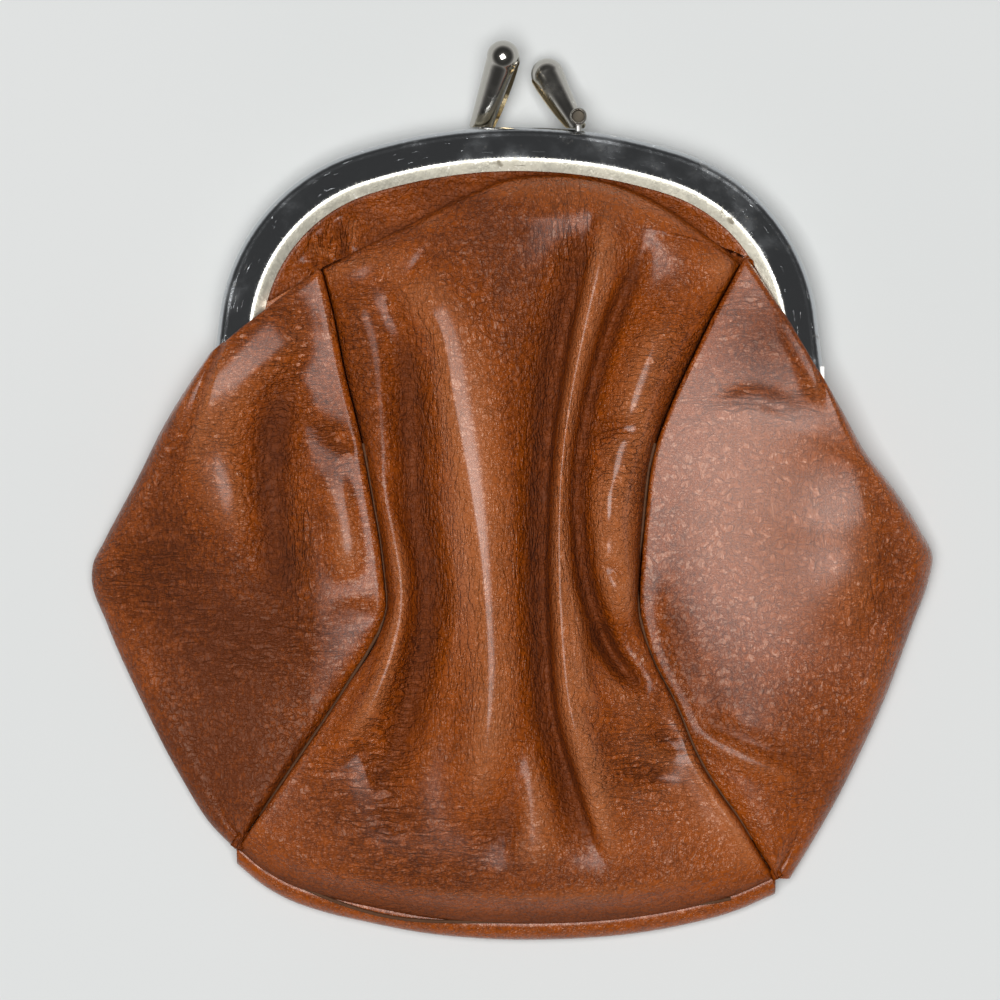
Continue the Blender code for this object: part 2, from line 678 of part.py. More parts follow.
def front_surface(u, v):
    """Outer face of the front panel: a crown between the seams with folds, drawn down into the channel."""
    spots = panel_plan(front_bottom, u, v, PANEL_ROWS)
    x, y = spots[:, 0], spots[:, 1]
    crown = 1 - np.abs(2 * u - 1) ** CROWN_POWER
    height = seam_height(y) + (crest_height(y) - seam_height(y)) * crown
    for path, rise, width in FRONT_FOLDS:
        near = np.exp(-((distance_to(scaled(path), x, y) / width) ** 2))
        height = height + rise * near * np.minimum(1, 3 * crown)
    from_bottom = distance_to(front_bottom, x, y)
    risen = smooth_step(BOTTOM_LIFT_SHARE + from_bottom / BOTTOM_RISE)
    height = BOTTOM_HEIGHT + (height - BOTTOM_HEIGHT) * risen
    height = np.where(from_bottom < SOFT_GAP, BOTTOM_HEIGHT, height)
    inside = distance_to(frame_edge, x, y) - BAND - SOFT_GAP
    height = SLOT_OUTER + (height - SLOT_OUTER) * smooth_step(inside / RECESS)
    return np.stack([x, y, height], -1)


def back_surface(u, v):
    """Outer face of the back panel: a roll along the bottom, flat below, drawn up into the channel."""
    u = 1 - u
    roll_share = ROLL_ROWS / (ROLL_ROWS + BACK_ROWS + TUCK_ROWS)
    flat = np.clip((v - roll_share) / (1 - roll_share), 0, 1)
    spots = panel_plan(back_bottom, u, flat, BACK_ROWS)
    turn = ROLL_TURN * np.clip(1 - v / roll_share, 0, 1)
    x = spots[:, 0]
    y = spots[:, 1] - ROLL_RADIUS * np.sin(turn)
    height = ROLL_RADIUS * (1 - np.cos(turn))
    inside = distance_to(frame_edge, x, y) - BAND - SOFT_GAP
    drawn = 1 - smooth_step(inside / RECESS)
    height = height + mirrored_level(SLOT_OUTER) * drawn * (y > 0)
    return np.stack([x, y, height], -1)


def wing_surface(seam, fold, hand):
    """Outer face of a folded gusset: out from the front seam, round the fold and back to the back seam."""
    columns = WING_FRONT_COLUMNS + WING_EDGE_COLUMNS + WING_BACK_COLUMNS
    front_share = WING_FRONT_COLUMNS / columns
    edge_share = WING_EDGE_COLUMNS / columns

    def surface(u, v):
        u = u if hand > 0 else 1 - u
        inner = along(seam, v)
        outer = along(fold, v)
        y = outer[:, 1]
        stations = np.array(WING_STATION_SHARES) * POUCH_DEPTH
        half = through(stations, WING_HALF_HEIGHTS, y)
        power = 2 / through(stations, WING_SQUARE_SHARES, y)
        way = outer - inner
        length = np.linalg.norm(way, axis=1)[:, None]
        way = way / length
        edge = (WING_TIP_EDGE + (WING_EDGE - WING_TIP_EDGE) * smooth_step(4 * v))[:, None]
        squared = (y > WING_NECK_LINE)[:, None]
        edge = np.where(squared, np.minimum(edge, WING_EDGE * WING_NECK_SHARE), edge)
        centre = outer - way * edge
        out = np.clip(u / front_share, 0, 1)
        turn = math.pi / 2 - math.pi * np.clip((u - front_share) / edge_share, 0, 1)
        back = np.clip((u - front_share - edge_share) / (1 - front_share - edge_share), 0, 1)
        share = (out * (1 - back))[:, None]
        plan = inner + (centre - inner) * share
        plan = plan + way * edge * (np.abs(np.cos(turn)) ** power)[:, None]
        rise = half + half * np.sign(np.sin(turn)) * np.abs(np.sin(turn)) ** power
        start = seam_height(inner[:, 1])
        front = start + (2 * half - start) * smooth_step(out) + WING_PUFF * np.sin(math.pi * out) * (1 - v)
        return np.column_stack([plan, np.where(u <= front_share, front, rise)])

    return surface, columns


mouth_between = edge_between(mouth, left_edge[::-1], right_edge[::-1])
bottom_line = scaled(BOTTOM_SHARES) + (0, ROLL_RADIUS)
back_bottom = edge_between(bottom_line, left_edge, right_edge)
front_bottom = edge_between(bottom_line + (0, SEAM_GAP / 2), left_edge, right_edge)

COGNAC = (0.30, 0.085, 0.022)
front_whole = sheet("front_whole", PANEL_COLUMNS, PANEL_ROWS + TUCK_ROWS, front_surface, None, cutters)
hide_helper(front_whole)
left_inner = beside(along(left_seam, shares), -SEAM_GAP / 2)
right_inner = beside(along(right_seam, shares), SEAM_GAP / 2)
left_shape, wing_columns = wing_surface(left_inner, scaled(LEFT_FOLD_SHARES), -1)
right_shape, wing_columns = wing_surface(right_inner, scaled(RIGHT_FOLD_SHARES), 1)
left_whole = sheet("left_whole", wing_columns, WING_ROWS, left_shape, None, cutters)
right_whole = sheet("right_whole", wing_columns, WING_ROWS, right_shape, None, cutters)
hide_helper(left_whole)
hide_helper(right_whole)
back_leather = material("back_leather", COGNAC, 0.5)
sheet("back_panel", BACK_COLUMNS, ROLL_ROWS + BACK_ROWS + TUCK_ROWS, back_surface, back_leather)

# The bend: above it, what lies in front of the parting plane moves with the front half
reach = 2 * POUCH_DEPTH
far = (reach, reach, reach)
over_bend = box_helper("over_bend", (-reach, BEND_LINE - SOFT_GAP / 2, PART_PLANE - SOFT_GAP / 2), far)
above_bend = box_helper("above_bend", (-reach, BEND_LINE + SOFT_GAP / 2, PART_PLANE + SOFT_GAP / 2), far)
for whole, name in ((front_whole, "front_panel"), (left_whole, "left_gusset"), (right_whole, "right_gusset")):
    for suffix, operation, cutter in (("", "DIFFERENCE", over_bend), ("_top", "INTERSECT", above_bend)):
        piece = whole.copy()
        piece.data = whole.data.copy()
        piece.name = name + suffix
        piece.hide_render = False
        piece.display_type = "TEXTURED"
        piece.data.materials.append(material(name + suffix + "_leather", COGNAC, 0.5))
        purse.objects.link(piece)
        cut_or_join(piece, operation, cutter)
        if suffix:
            moves_with_front(piece)


# Seam threads
def seam_thread(name, path, height, start, end):
    """A thread in the groove of a turned seam, between two shares of the seam's length."""
    spots = along(path, np.linspace(start, end, SEAM_STITCHES))
    levels = height(spots[:, 1])
    thread = material(name + "_linen", (0.16, 0.07, 0.03), 0.8)
    tube(name, np.column_stack([spots, levels]), THREAD_RADIUS, thread)


def share_at(path, height):
    """Share of the path's length at which it first passes this height."""
    share = np.linspace(0, 1, 400)
    return share[np.argmax(along(path, share)[:, 1] > height)]


def front_seam_level(y):
    return seam_height(y) - LEATHER / 2


def back_seam_level(y):
    return np.full(y.shape, LEATHER / 2)


thread_stop = BEND_LINE - SOFT_GAP
for word, path in (("left", left_seam), ("right", right_seam)):
    front_stop = share_at(path, thread_stop)
    back_stop = share_at(path, CORD_FOOT)
    seam_thread(f"front_{word}_seam_thread", path, front_seam_level, SEAM_START_SHARE, front_stop)
    seam_thread(f"back_{word}_seam_thread", path, back_seam_level, SEAM_START_SHARE, back_stop)
rolled_edge = back_bottom - (0, ROLL_RADIUS * math.sin(ROLL_TURN))
bottom_spots = along((rolled_edge + front_bottom) / 2, np.linspace(*BOTTOM_SEAM_SHARES, 2 * SEAM_STITCHES))
bottom_levels = np.full(len(bottom_spots), BOTTOM_HEIGHT - LEATHER / 2)
bottom_linen = material("bottom_linen", (0.16, 0.07, 0.03), 0.8)
tube("bottom_seam_thread", np.column_stack([bottom_spots, bottom_levels]), THREAD_RADIUS, bottom_linen)
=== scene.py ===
"""A leather coin purse with an arched clasp frame, lying on its back, dressed for rendering.

Shapes are worked out in millimetres as numpy grids and put into meshes in metres.
"""

import bpy
import numpy as np
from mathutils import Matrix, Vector


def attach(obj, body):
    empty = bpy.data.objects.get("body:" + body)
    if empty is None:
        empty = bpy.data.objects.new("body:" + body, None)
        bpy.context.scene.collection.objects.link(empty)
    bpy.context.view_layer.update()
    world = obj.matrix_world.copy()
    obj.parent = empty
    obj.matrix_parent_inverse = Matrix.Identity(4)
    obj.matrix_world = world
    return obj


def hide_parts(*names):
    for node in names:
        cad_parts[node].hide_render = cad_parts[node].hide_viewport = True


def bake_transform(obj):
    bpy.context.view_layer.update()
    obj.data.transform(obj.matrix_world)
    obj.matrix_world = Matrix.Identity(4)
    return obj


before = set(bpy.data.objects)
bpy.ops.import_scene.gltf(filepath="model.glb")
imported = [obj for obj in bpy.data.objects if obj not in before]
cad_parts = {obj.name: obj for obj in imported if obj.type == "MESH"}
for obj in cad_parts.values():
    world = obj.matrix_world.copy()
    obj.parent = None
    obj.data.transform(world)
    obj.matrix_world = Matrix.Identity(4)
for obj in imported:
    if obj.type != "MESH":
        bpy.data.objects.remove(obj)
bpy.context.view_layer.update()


# Front panel: one waisted piece of cognac calf leather, gathered into the front channel and puffed
# out in lengthwise folds. Its sides and its foot are turned seams, so each edge rolls down out of sight.

PHOTO_MM = 0.1214
HINGE_PIXEL = (518, 402)
LEATHER = 0.8
SEAM_SLIT = 0.04
PANEL_COLUMNS = 184
PANEL_ROWS = 224
TUCK_ROWS = 8
FOOT_LEVEL = 4.9

FRAME_WIDTH = 75.0
FRAME_HEIGHT = 33.4
CROWN_RADIUS = 65.0
SHOULDER_RADIUS = 24.0
LEG_LEAN = 0.12
LEG_FOOT = 3.0
LEG_POINTS = 20
ARC_STEPS = 60
BAND = 5.4
HINGE_LEVEL = 5.45
CHANNEL_LEATHER_LEVEL = 8.3
TUCK_INSET = 1.9
CORNER_HEIGHT = 11.0
PEAK_SHARE = 0.8
END_POWER = 12

SEAM_STATIONS = (-65.1, -58.6, -50.8, -36.5, -20.2, -5.2, 5.2, 16.9, 32.5)
SEAM_LEVELS = (4.9, 5.2, 6.6, 8.1, 8.9, 10.0, 10.7, 10.8, 10.8)
CREST_LEVELS = (6.4, 8.9, 10.2, 11.2, 11.6, 12.1, 12.4, 12.4, 11.9)


def places(*pixels):
    """Points on the purse, in mm from the middle of the hinge line, for points of the photograph."""
    return (np.array(pixels, float) - HINGE_PIXEL) * (PHOTO_MM, -PHOTO_MM)


def smooth(x):
    """An S-shaped step from 0 to 1: three squares less two cubes of x."""
    x = np.clip(x, 0, 1)
    return x * x * (3 - 2 * x)


def through(stations, values, x):
    """A smooth curve through values at stations: cubic pieces whose slopes are averaged at the stations."""
    stations = np.asarray(stations, float)
    values = np.asarray(values, float)
    slopes = np.gradient(values, stations, axis=0)
    x = np.clip(np.asarray(x, float), stations[0], stations[-1])
    index = np.clip(np.searchsorted(stations, x, side="right") - 1, 0, len(stations) - 2)
    width = stations[index + 1] - stations[index]
    t = (x - stations[index]) / width
    if values.ndim > 1:
        t, width = t[..., None], width[..., None]
    rise = t * t * (3 - 2 * t)
    straight = values[index] * (1 - rise) + values[index + 1] * rise
    return straight + width * (slopes[index] * t * (1 - t) ** 2 + slopes[index + 1] * t * t * (t - 1))


def along(points, share):
    """Points at these shares of the length of a smooth path."""
    points = np.asarray(points, float)
    length = np.concatenate([[0], np.cumsum(np.linalg.norm(np.diff(points, axis=0), axis=1))])
    return through(length, points, np.asarray(share) * length[-1])


def beside(path, offset):
    """The path moved sideways by a distance, to its right where that is positive."""
    run = np.gradient(path, axis=0)
    run /= np.linalg.norm(run, axis=1)[:, None]
    return path + offset * np.stack([run[:, 1], -run[:, 0]], -1)


def track(path, x, y, pieces=60):
    """Distance of each place from a smooth path, and the share of its length there.

    The distance is to the nearest of the path's short straight pieces, negative on the right of travel.
    """
    path = along(path, np.linspace(0, 1, pieces + 1))
    nearest = np.full(x.shape, np.inf)
    share = np.zeros(x.shape)
    side = np.ones(x.shape)
    for step in range(pieces):
        run = path[step + 1] - path[step]
        dx, dy = x - path[step, 0], y - path[step, 1]
        t = np.clip((dx * run[0] + dy * run[1]) / (run @ run), 0, 1)
        dx, dy = dx - t * run[0], dy - t * run[1]
        gap = dx * dx + dy * dy
        closer = gap < nearest
        nearest = np.where(closer, gap, nearest)
        share = np.where(closer, (step + t) / pieces, share)
        side = np.where(closer, np.sign(run[0] * dy - run[1] * dx), side)
    return np.sqrt(nearest) * side, share


def fold(x, y, path, rise, west, east, power=2.0, fade=(0.4, 0.4)):
    """One fold along a path listed from the clasp down: a bell across it with its own width on each side."""
    across, share = track(places(*path), x, y)
    width = np.where(across > 0, east, west)
    ends = smooth(share / fade[0]) * smooth((1 - share) / fade[1])
    return rise * ends * np.exp(-np.abs(across / width) ** power)


def folded(x, y, folds):
    """Height of all folds of a list together."""
    return sum(fold(x, y, *one) for one in folds)


def quarter_roll(distance, radius):
    """Drop of an edge that rolls down as a quarter circle of this radius."""
    t = np.clip(distance / radius, 0, 1)
    return radius * (1 - np.sqrt(1 - (1 - t) ** 2))


def arch(inset):
    """The frame's arch at a distance inside its outer edge: leg, shoulder arc, crown arc, and mirrored.

    Also gives the inward direction at each point.
    """
    lean = np.arctan(LEG_LEAN)
    out = np.array([np.cos(lean), np.sin(lean)])
    up = np.array([-np.sin(lean), np.cos(lean)])
    crown = np.array([0.0, FRAME_HEIGHT - CROWN_RADIUS])
    base = out * (FRAME_WIDTH / 2 * np.cos(lean) - SHOULDER_RADIUS)
    reach = (base - crown) @ up
    rest = (base - crown) @ (base - crown) - (CROWN_RADIUS - SHOULDER_RADIUS) ** 2
    shoulder = base + up * (np.sqrt(reach * reach - rest) - reach)
    meet = np.arctan2(*(shoulder - crown)[::-1])
    leg_top = shoulder + SHOULDER_RADIUS * out
    leg_foot = leg_top + up * (LEG_FOOT - leg_top[1]) / up[1]
    leg = leg_foot + (leg_top - leg_foot) * np.linspace(0, 1, LEG_POINTS)[:-1, None]
    turns = np.linspace(lean, meet, ARC_STEPS + 1)
    shoulder_out = np.stack([np.cos(turns), np.sin(turns)], -1)
    turns = np.linspace(meet, np.pi / 2, ARC_STEPS + 1)[1:]
    crown_out = np.stack([np.cos(turns), np.sin(turns)], -1)
    points = np.vstack([leg, shoulder + SHOULDER_RADIUS * shoulder_out, crown + CROWN_RADIUS * crown_out])
    outward = np.vstack([np.tile(out, (len(leg), 1)), shoulder_out, crown_out])
    mirror = np.array([-1, 1])
    points = np.vstack([points * mirror, points[-2::-1]])
    outward = np.vstack([outward * mirror, outward[-2::-1]])
    return points - outward * inset, -outward


def arch_between(inset, low_left, low_right):
    """The part of the arch at this inset that lies above a height on each leg, left to right."""
    line, _ = arch(inset)
    middle = len(line) // 2
    left = line[:middle][line[:middle, 1] > low_left]
    right = line[middle:][line[middle:, 1] > low_right]
    return np.vstack([left, right])


LEFT_SEAM = places(
    (235, 850), (262, 812), (290, 771), (320, 727), (350, 681), (374, 645), (386, 611), (384, 575), (380, 540),
    (371, 490), (362, 440), (345, 370), (333, 310), (322, 268),
)
RIGHT_SEAM = places(
    (777, 880), (758, 850), (740, 820), (718, 790), (700, 760), (675, 702), (651, 655), (640, 612), (641, 560),
    (645, 510), (652, 458), (672, 400), (693, 355), (715, 310), (734, 275), (744, 256),
)
BOTTOM_LINE = places(
    (235, 850), (262, 872), (287, 886), (325, 899), (368, 909), (420, 919), (479, 925), (553, 926), (627, 921),
    (682, 912), (738, 897), (777, 880),
)
PUFF_EDGE = places(
    (296, 286), (322, 270), (360, 250), (420, 220), (470, 194), (505, 180), (560, 175), (610, 183), (660, 205),
    (705, 236), (738, 262), (757, 292),
)
PUFF_STATIONS = places((296, 0), (360, 0), (430, 0), (500, 0), (560, 0), (620, 0), (700, 0), (757, 0))[:, 0]
PUFF_ROUNDS = (1.6, 2.2, 5.0, 10.0, 9.0, 7.0, 4.0, 2.4)
STRIP_RISES = (0.9, 1.0, 1.1, 1.3, 1.5, 1.4, 1.0, 0.7)

# Each fold: its path on the photograph, its height, its widths west and east, and where they differ from
# fold()'s own values, its sharpness and the shares of its length over which its ends fade
PANEL_FOLDS = (
    # the broad middle ridge and the valleys beside it
    (((366, 268), (412, 284), (440, 325), (455, 400), (471, 480), (484, 560), (491, 640), (490, 740), (474, 840)),
     2.6, 3.2, 7.0, 2.0, (0.15, 0.2)),
    (((404, 300), (409, 380), (411, 453), (417, 520), (426, 571), (428, 620), (417, 680), (398, 745), (386, 810)),
     -2.7, 2.2, 2.6, 2.0, (0.3, 0.2)),
    (((345, 284), (366, 330), (380, 400), (392, 470), (400, 520)), 1.0, 3.4, 2.4, 2.0, (0.15, 0.3)),
    # the rope-like roll beside the left seam
    (((364, 440), (381, 490), (395, 540), (401, 600), (393, 648), (372, 700), (342, 745), (300, 800)),
     1.9, 1.6, 1.5, 2.4, (0.35, 0.45)),
    # the deep crease, with the slim ridge that stands up steeply east of it
    (((600, 190), (585, 260), (569, 325), (557, 390), (549, 450), (545, 512), (544, 600), (546, 648), (552, 715),
      (569, 777), (589, 833), (612, 880)), -3.7, 3.2, 0.9, 1.7, (0.25, 0.2)),
    (((612, 196), (596, 265), (581, 330), (569, 400), (561, 483), (558, 571), (562, 640), (569, 700), (586, 765),
      (606, 833), (630, 885)), 1.8, 1.4, 2.2, 2.2, (0.12, 0.25)),
    # the valley and the puffy ridge beside the right seam
    (((652, 215), (634, 270), (612, 320), (595, 370), (581, 430), (575, 490), (579, 545), (590, 600), (608, 645),
      (634, 690)), -2.3, 1.2, 1.3, 1.8, (0.25, 0.2)),
    (((704, 250), (680, 300), (650, 365), (630, 430), (617, 490), (614, 550), (626, 605), (640, 642)),
     2.7, 3.0, 3.0, 2.4, (0.35, 0.15)),
    (((590, 442), (612, 432), (648, 428)), -0.55, 0.9, 1.5),
    (((590, 470), (604, 505), (606, 545)), 0.6, 1.6, 2.4),
    (((572, 560), (577, 620), (587, 690), (602, 722), (618, 748)), 0.9, 0.9, 1.1),
    (((592, 616), (616, 660), (650, 696)), -2.2, 1.3, 0.9, 2.0, (0.25, 0.4)),
    # the foot of the panel
    (((521, 660), (517, 740), (508, 810), (490, 880)), -0.9, 2.6, 1.8, 2.0, (0.4, 0.3)),
    (((552, 690), (546, 760), (540, 830), (536, 900)), 0.5, 3.0, 2.0, 2.0, (0.4, 0.3)),
    (((668, 715), (700, 772), (733, 822), (758, 868)), 0.5, 1.3, 1.3, 2.0, (0.3, 0.2)),
    (((372, 740), (388, 800), (404, 850)), -0.5, 2.4, 2.4),
    # short wrinkles pulled out of the crease beside the right seam and out of the rope-like roll
    (((598, 560), (616, 572), (634, 580)), -0.5, 0.8, 1.2),
    (((640, 716), (668, 742), (700, 752)), -0.45, 1.0, 1.4),
    (((610, 760), (640, 776), (684, 778)), -0.4, 1.0, 1.6),
    (((350, 742), (372, 760), (384, 790)), -0.4, 0.8, 1.2),
    (((400, 300), (420, 262), (450, 236)), -0.35, 1.6, 1.2),
)

# Puckers where the leather is drawn into the channel: the same, as small folds
PUCKERS = (
    (((352, 212), (354, 232), (348, 255)), 0.4, 0.7, 0.9, 2.0, (0.3, 0.2)),
    (((338, 216), (343, 238), (344, 262)), -0.5, 0.5, 0.5, 2.0, (0.2, 0.1)),
    (((336, 258), (318, 250), (304, 244)), 0.35, 0.6, 0.6, 2.0, (0.1, 0.4)),
    (((334, 264), (314, 262), (296, 262)), -0.35, 0.4, 0.5, 2.0, (0.1, 0.4)),
    (((330, 244), (322, 236), (316, 228)), -0.3, 0.5, 0.5, 2.0, (0.2, 0.4)),
    (((742, 246), (746, 258), (752, 270)), -0.4, 0.6, 0.6, 2.0, (0.2, 0.2)),
)

edge_shares = np.linspace(0, 1, 120)
mouth_line = along(arch_between(BAND + 0.3, CORNER_HEIGHT, CORNER_HEIGHT), edge_shares)
tuck_line = arch_between(TUCK_INSET, CORNER_HEIGHT, CORNER_HEIGHT)
left_edge = beside(along(LEFT_SEAM, edge_shares), SEAM_SLIT)
right_edge = beside(along(RIGHT_SEAM, edge_shares), -SEAM_SLIT)


def fitted(line, start, end):
    """The line with its two ends moved to new points, the shift fading along it as a high power."""
    spots = along(line, edge_shares)
    share = edge_shares[:, None]
    return spots + (1 - share) ** END_POWER * (start - spots[0]) + share**END_POWER * (end - spots[-1])


def crowded(count, share):
    """Steps from 0 to 1 that crowd towards both ends, by a share of a cosine."""
    t = np.linspace(0, 1, count)
    return (1 - share) * t + share * (0.5 - 0.5 * np.cos(np.pi * t))


def side_at(edge, corner, v):
    """A side of the panel: up its seam to the peak, then straight back to the corner of the channel's mouth."""
    back = np.clip((v - PEAK_SHARE) / (1 - PEAK_SHARE), 0, 1)[..., None]
    return along(edge, np.clip(v / PEAK_SHARE, 0, 1)) + back * (corner - edge[-1])


def panel_plan(columns, rows, bottom):
    """Grid of a panel in plan, from its foot to the channel's mouth and on to the tuck inside the channel.

    Straight lines between the sides, bent by how far the foot and the mouth lie off the straight line
    between their own ends, which fades with the distance from them.
    """
    u, v = np.meshgrid(crowded(columns + 1, 0.5), crowded(rows + 1, 0.35))
    chord = u[..., None]
    plan = (1 - chord) * side_at(left_edge, mouth_line[0], v) + chord * side_at(right_edge, mouth_line[-1], v)
    plan += (v**5)[..., None] * (along(mouth_line, u) - (1 - chord) * mouth_line[0] - chord * mouth_line[-1])
    plan += (1 - v)[..., None] * (along(bottom, u) - (1 - chord) * bottom[0] - chord * bottom[-1])
    tucked = np.linspace(0, 1, TUCK_ROWS + 1)[1:, None, None]
    return np.concatenate([plan, plan[-1] + (along(tuck_line, u[0]) - plan[-1]) * tucked]), u


def in_metres(name, points, faces):
    """A mesh object from points in mm."""
    mesh = bpy.data.meshes.new(name)
    mesh.from_pydata((np.asarray(points, float).reshape(-1, 3) / 1000).tolist(), [], [list(f) for f in faces])
    mesh.polygons.foreach_set("use_smooth", np.ones(len(mesh.polygons), bool))
    mesh.update()
    made = bpy.data.objects.new(name, mesh)
    bpy.context.scene.collection.objects.link(made)
    return made


def sheet_faces(rows, columns):
    """Faces of a closed sheet: an outer grid, an inner grid after it, and the rim between them."""
    index = np.arange(rows * columns).reshape(rows, columns)
    quads = np.stack([index[:-1, :-1], index[:-1, 1:], index[1:, 1:], index[1:, :-1]], -1).reshape(-1, 4)
    rim = np.concatenate([index[0, :-1], index[:-1, -1], index[-1, :0:-1], index[:0:-1, 0]])
    following = np.roll(rim, -1)
    inner = rows * columns
    walls = np.stack([following, rim, rim + inner, following + inner], -1)
    return np.concatenate([quads, quads[:, ::-1] + inner, walls])


def leather_sheet(name, outer, inner, **marks):
    """A closed sheet between two grids of points in mm, with a named value at each outer point for each mark."""
    rows, columns = outer.shape[:2]
    sheet = in_metres(name, np.concatenate([outer.reshape(-1, 3), inner.reshape(-1, 3)]), sheet_faces(rows, columns))
    for mark, values in marks.items():
        attribute = sheet.data.attributes.new(mark, "FLOAT", "POINT")
        attribute.data.foreach_set("value", np.tile(np.asarray(values, np.float32).ravel(), 2))
    return sheet


def blurred(grid, times):
    """The grid averaged with its neighbours, so many times."""
    for _ in range(times):
        edge = np.pad(grid, 1, mode="edge")
        grid = (edge[:-2, 1:-1] + edge[2:, 1:-1] + edge[1:-1, :-2] + edge[1:-1, 2:]) / 4
    return grid


def hollows(level):
    """How far each point lies below the leather close round it and farther round it, from -1 to 1."""
    close, far = blurred(level, 60) - level, blurred(level, 350) - level
    return np.clip(0.55 * close / 0.5 + 0.5 * far / 1.3, -1, 1)


def spots_mask(x, y, *spots):
    """Sum of soft round spots, each a photograph's point, two radii in pixels, a turn in degrees and a strength."""
    total = np.zeros(x.shape)
    for px, py, wide, tall, turn, strength in spots:
        centre = places((px, py))[0]
        dx, dy = x - centre[0], y - centre[1]
        c, s = np.cos(np.radians(turn)), np.sin(np.radians(turn))
        a = (c * dx + s * dy) / (wide * PHOTO_MM)
        b = (c * dy - s * dx) / (tall * PHOTO_MM)
        total += strength * np.exp(-(a * a + b * b))
    return total


def crowned(x, y, u):
    """Height of the puffed leather: the seam's level at both sides and the crest's level in the middle."""
    low = through(SEAM_STATIONS, SEAM_LEVELS, y)
    high = through(SEAM_STATIONS, CREST_LEVELS, y)
    return low + (high - low) * (1 - np.abs(2 * u - 1) ** 2.4)


def overlap(hand, y):
    """How far the panel's edge lies above the gusset's: under it along the upper left seam, over it elsewhere."""
    return 0.35 if hand > 0 else 0.45 * (1 - 2 * smooth((y + 29) / 6))


panel_bottom = fitted(BOTTOM_LINE, left_edge[0], right_edge[0])
plan, u_grid = panel_plan(PANEL_COLUMNS, PANEL_ROWS, panel_bottom)
u_grid = np.concatenate([u_grid, np.tile(u_grid[-1], (TUCK_ROWS, 1))])
x, y = plan[..., 0], plan[..., 1]
level = crowned(x, y, u_grid)
from_left = np.abs(track(left_edge, x, y)[0])
from_right = np.abs(track(right_edge, x, y)[0])
from_sides = np.minimum(from_left, from_right)
level = level + folded(x, y, PANEL_FOLDS) * smooth(from_sides / 1.5 + 0.25)
level = level + overlap(-1, y) * np.exp(-from_left / 2.2) + overlap(1, y) * np.exp(-from_right / 2.2)
from_foot = np.abs(track(panel_bottom, x, y)[0])
level = FOOT_LEVEL + (level - FOOT_LEVEL) * smooth(0.12 + from_foot / 4.6)
into_puff = -track(PUFF_EDGE, x, y)[0]
rounds = through(PUFF_STATIONS, PUFF_ROUNDS, x)
puff = np.sqrt(1 - (1 - np.clip(into_puff / rounds, 0, 1)) ** 2)
mouth_gap = np.abs(track(mouth_line, x, y)[0])
strip = CHANNEL_LEATHER_LEVEL + through(PUFF_STATIONS, STRIP_RISES, x) * np.clip(mouth_gap / 3.6, 0, 1.5)
strip = strip + folded(x, y, PUCKERS) * smooth(mouth_gap / 1.2)
level = np.where(y > 0, strip + (level - strip) * puff, level)
side_roll = np.where(from_left < from_right, 0.6, 0.9 + 1.2 * smooth((y + 31) / 5))
level = level - quarter_roll(from_sides, side_roll) * np.where(y > 0, puff, 1)
level = level - quarter_roll(from_foot, 1.2)
level[-TUCK_ROWS:] = CHANNEL_LEATHER_LEVEL
outer = np.stack([x, y, level], -1)
inner = np.stack([x, y, blurred(level, 12) - LEATHER], -1)
inner[..., 2] = np.minimum(inner[..., 2], level - 0.5)
front_leather = leather_sheet(
    "front_leather", outer, inner,
    # hollow: depth below the surrounding leather; the finish darkens by it as painted shade and pales crests by it,
    # partly as painted highlight
    hollow=hollows(level),
    wrinkled_level=spots_mask(
        x, y, (630, 470, 45, 70, 0, 0.9), (650, 760, 60, 55, 30, 1.0), (400, 680, 26, 70, -25, 0.7),
        (420, 850, 100, 50, 0, 0.9), (670, 350, 50, 60, 0, 0.8), (370, 330, 40, 90, 0, 0.7),
        (360, 770, 60, 50, 0, 0.7),
    ),
    wrinkled_upright=spots_mask(
        x, y, (430, 400, 30, 160, 0, 0.6), (560, 500, 40, 200, 0, 0.6), (330, 240, 40, 30, 0, 1.0),
        (470, 650, 50, 150, 0, 0.5), (570, 230, 50, 60, 0, 0.7),
    ),
    # Spots of painted shade where positive and painted highlight where negative; they also dull or gloss the coat
    patina=spots_mask(
        x, y, (485, 270, 50, 60, 0, 1.0), (440, 195, 90, 18, -25, 0.9), (525, 350, 30, 130, 0, 0.8),
        (535, 600, 14, 150, 0, 0.9), (470, 520, 22, 130, -4, -0.9), (620, 520, 12, 50, 0, -0.9),
        (640, 425, 14, 30, 20, -0.6), (715, 815, 22, 80, 35, -0.8), (395, 400, 22, 60, 0, 0.5),
        (425, 620, 16, 80, 0, 1.0), (665, 290, 30, 40, 20, 0.6), (600, 620, 20, 60, 0, 0.4),
        (650, 690, 30, 20, 40, 0.4), (480, 880, 220, 24, 0, 0.8), (350, 810, 80, 50, 0, 1.0),
        (400, 230, 60, 12, -25, 0.7), (618, 250, 20, 50, 10, 0.3), (362, 400, 20, 80, 0, 1.2),
        (345, 320, 24, 50, 0, 0.5), (400, 440, 14, 120, 0, 0.5), (420, 840, 70, 40, 0, 0.5),
        (612, 510, 16, 40, 0, -0.6),
    ),
    coarse=spots_mask(x, y, (640, 740, 60, 60, 0, 0.7), (440, 300, 50, 90, 0, 0.5)),
)


# The finish of the leather: aniline-dyed calf with a fine pebble, a satin top coat and short wrinkles where
# it bends. Hollows and wrinkle lines are darkened as painted shade, crests are paler as partly rubbed wear and
# partly painted highlight, and marked spots carry painted shade where positive and painted highlight where negative.

# The deep colour serves for darker tone and for painted shade; the rubbed colour for pale wear and for painted
# highlight.
COGNAC = (0.33, 0.066, 0.0025)
COGNAC_DEEP_TONE_AND_SHADE = (0.075, 0.012, 0.001)
COGNAC_RUBBED_AND_HIGHLIGHT = (0.50, 0.17, 0.06)


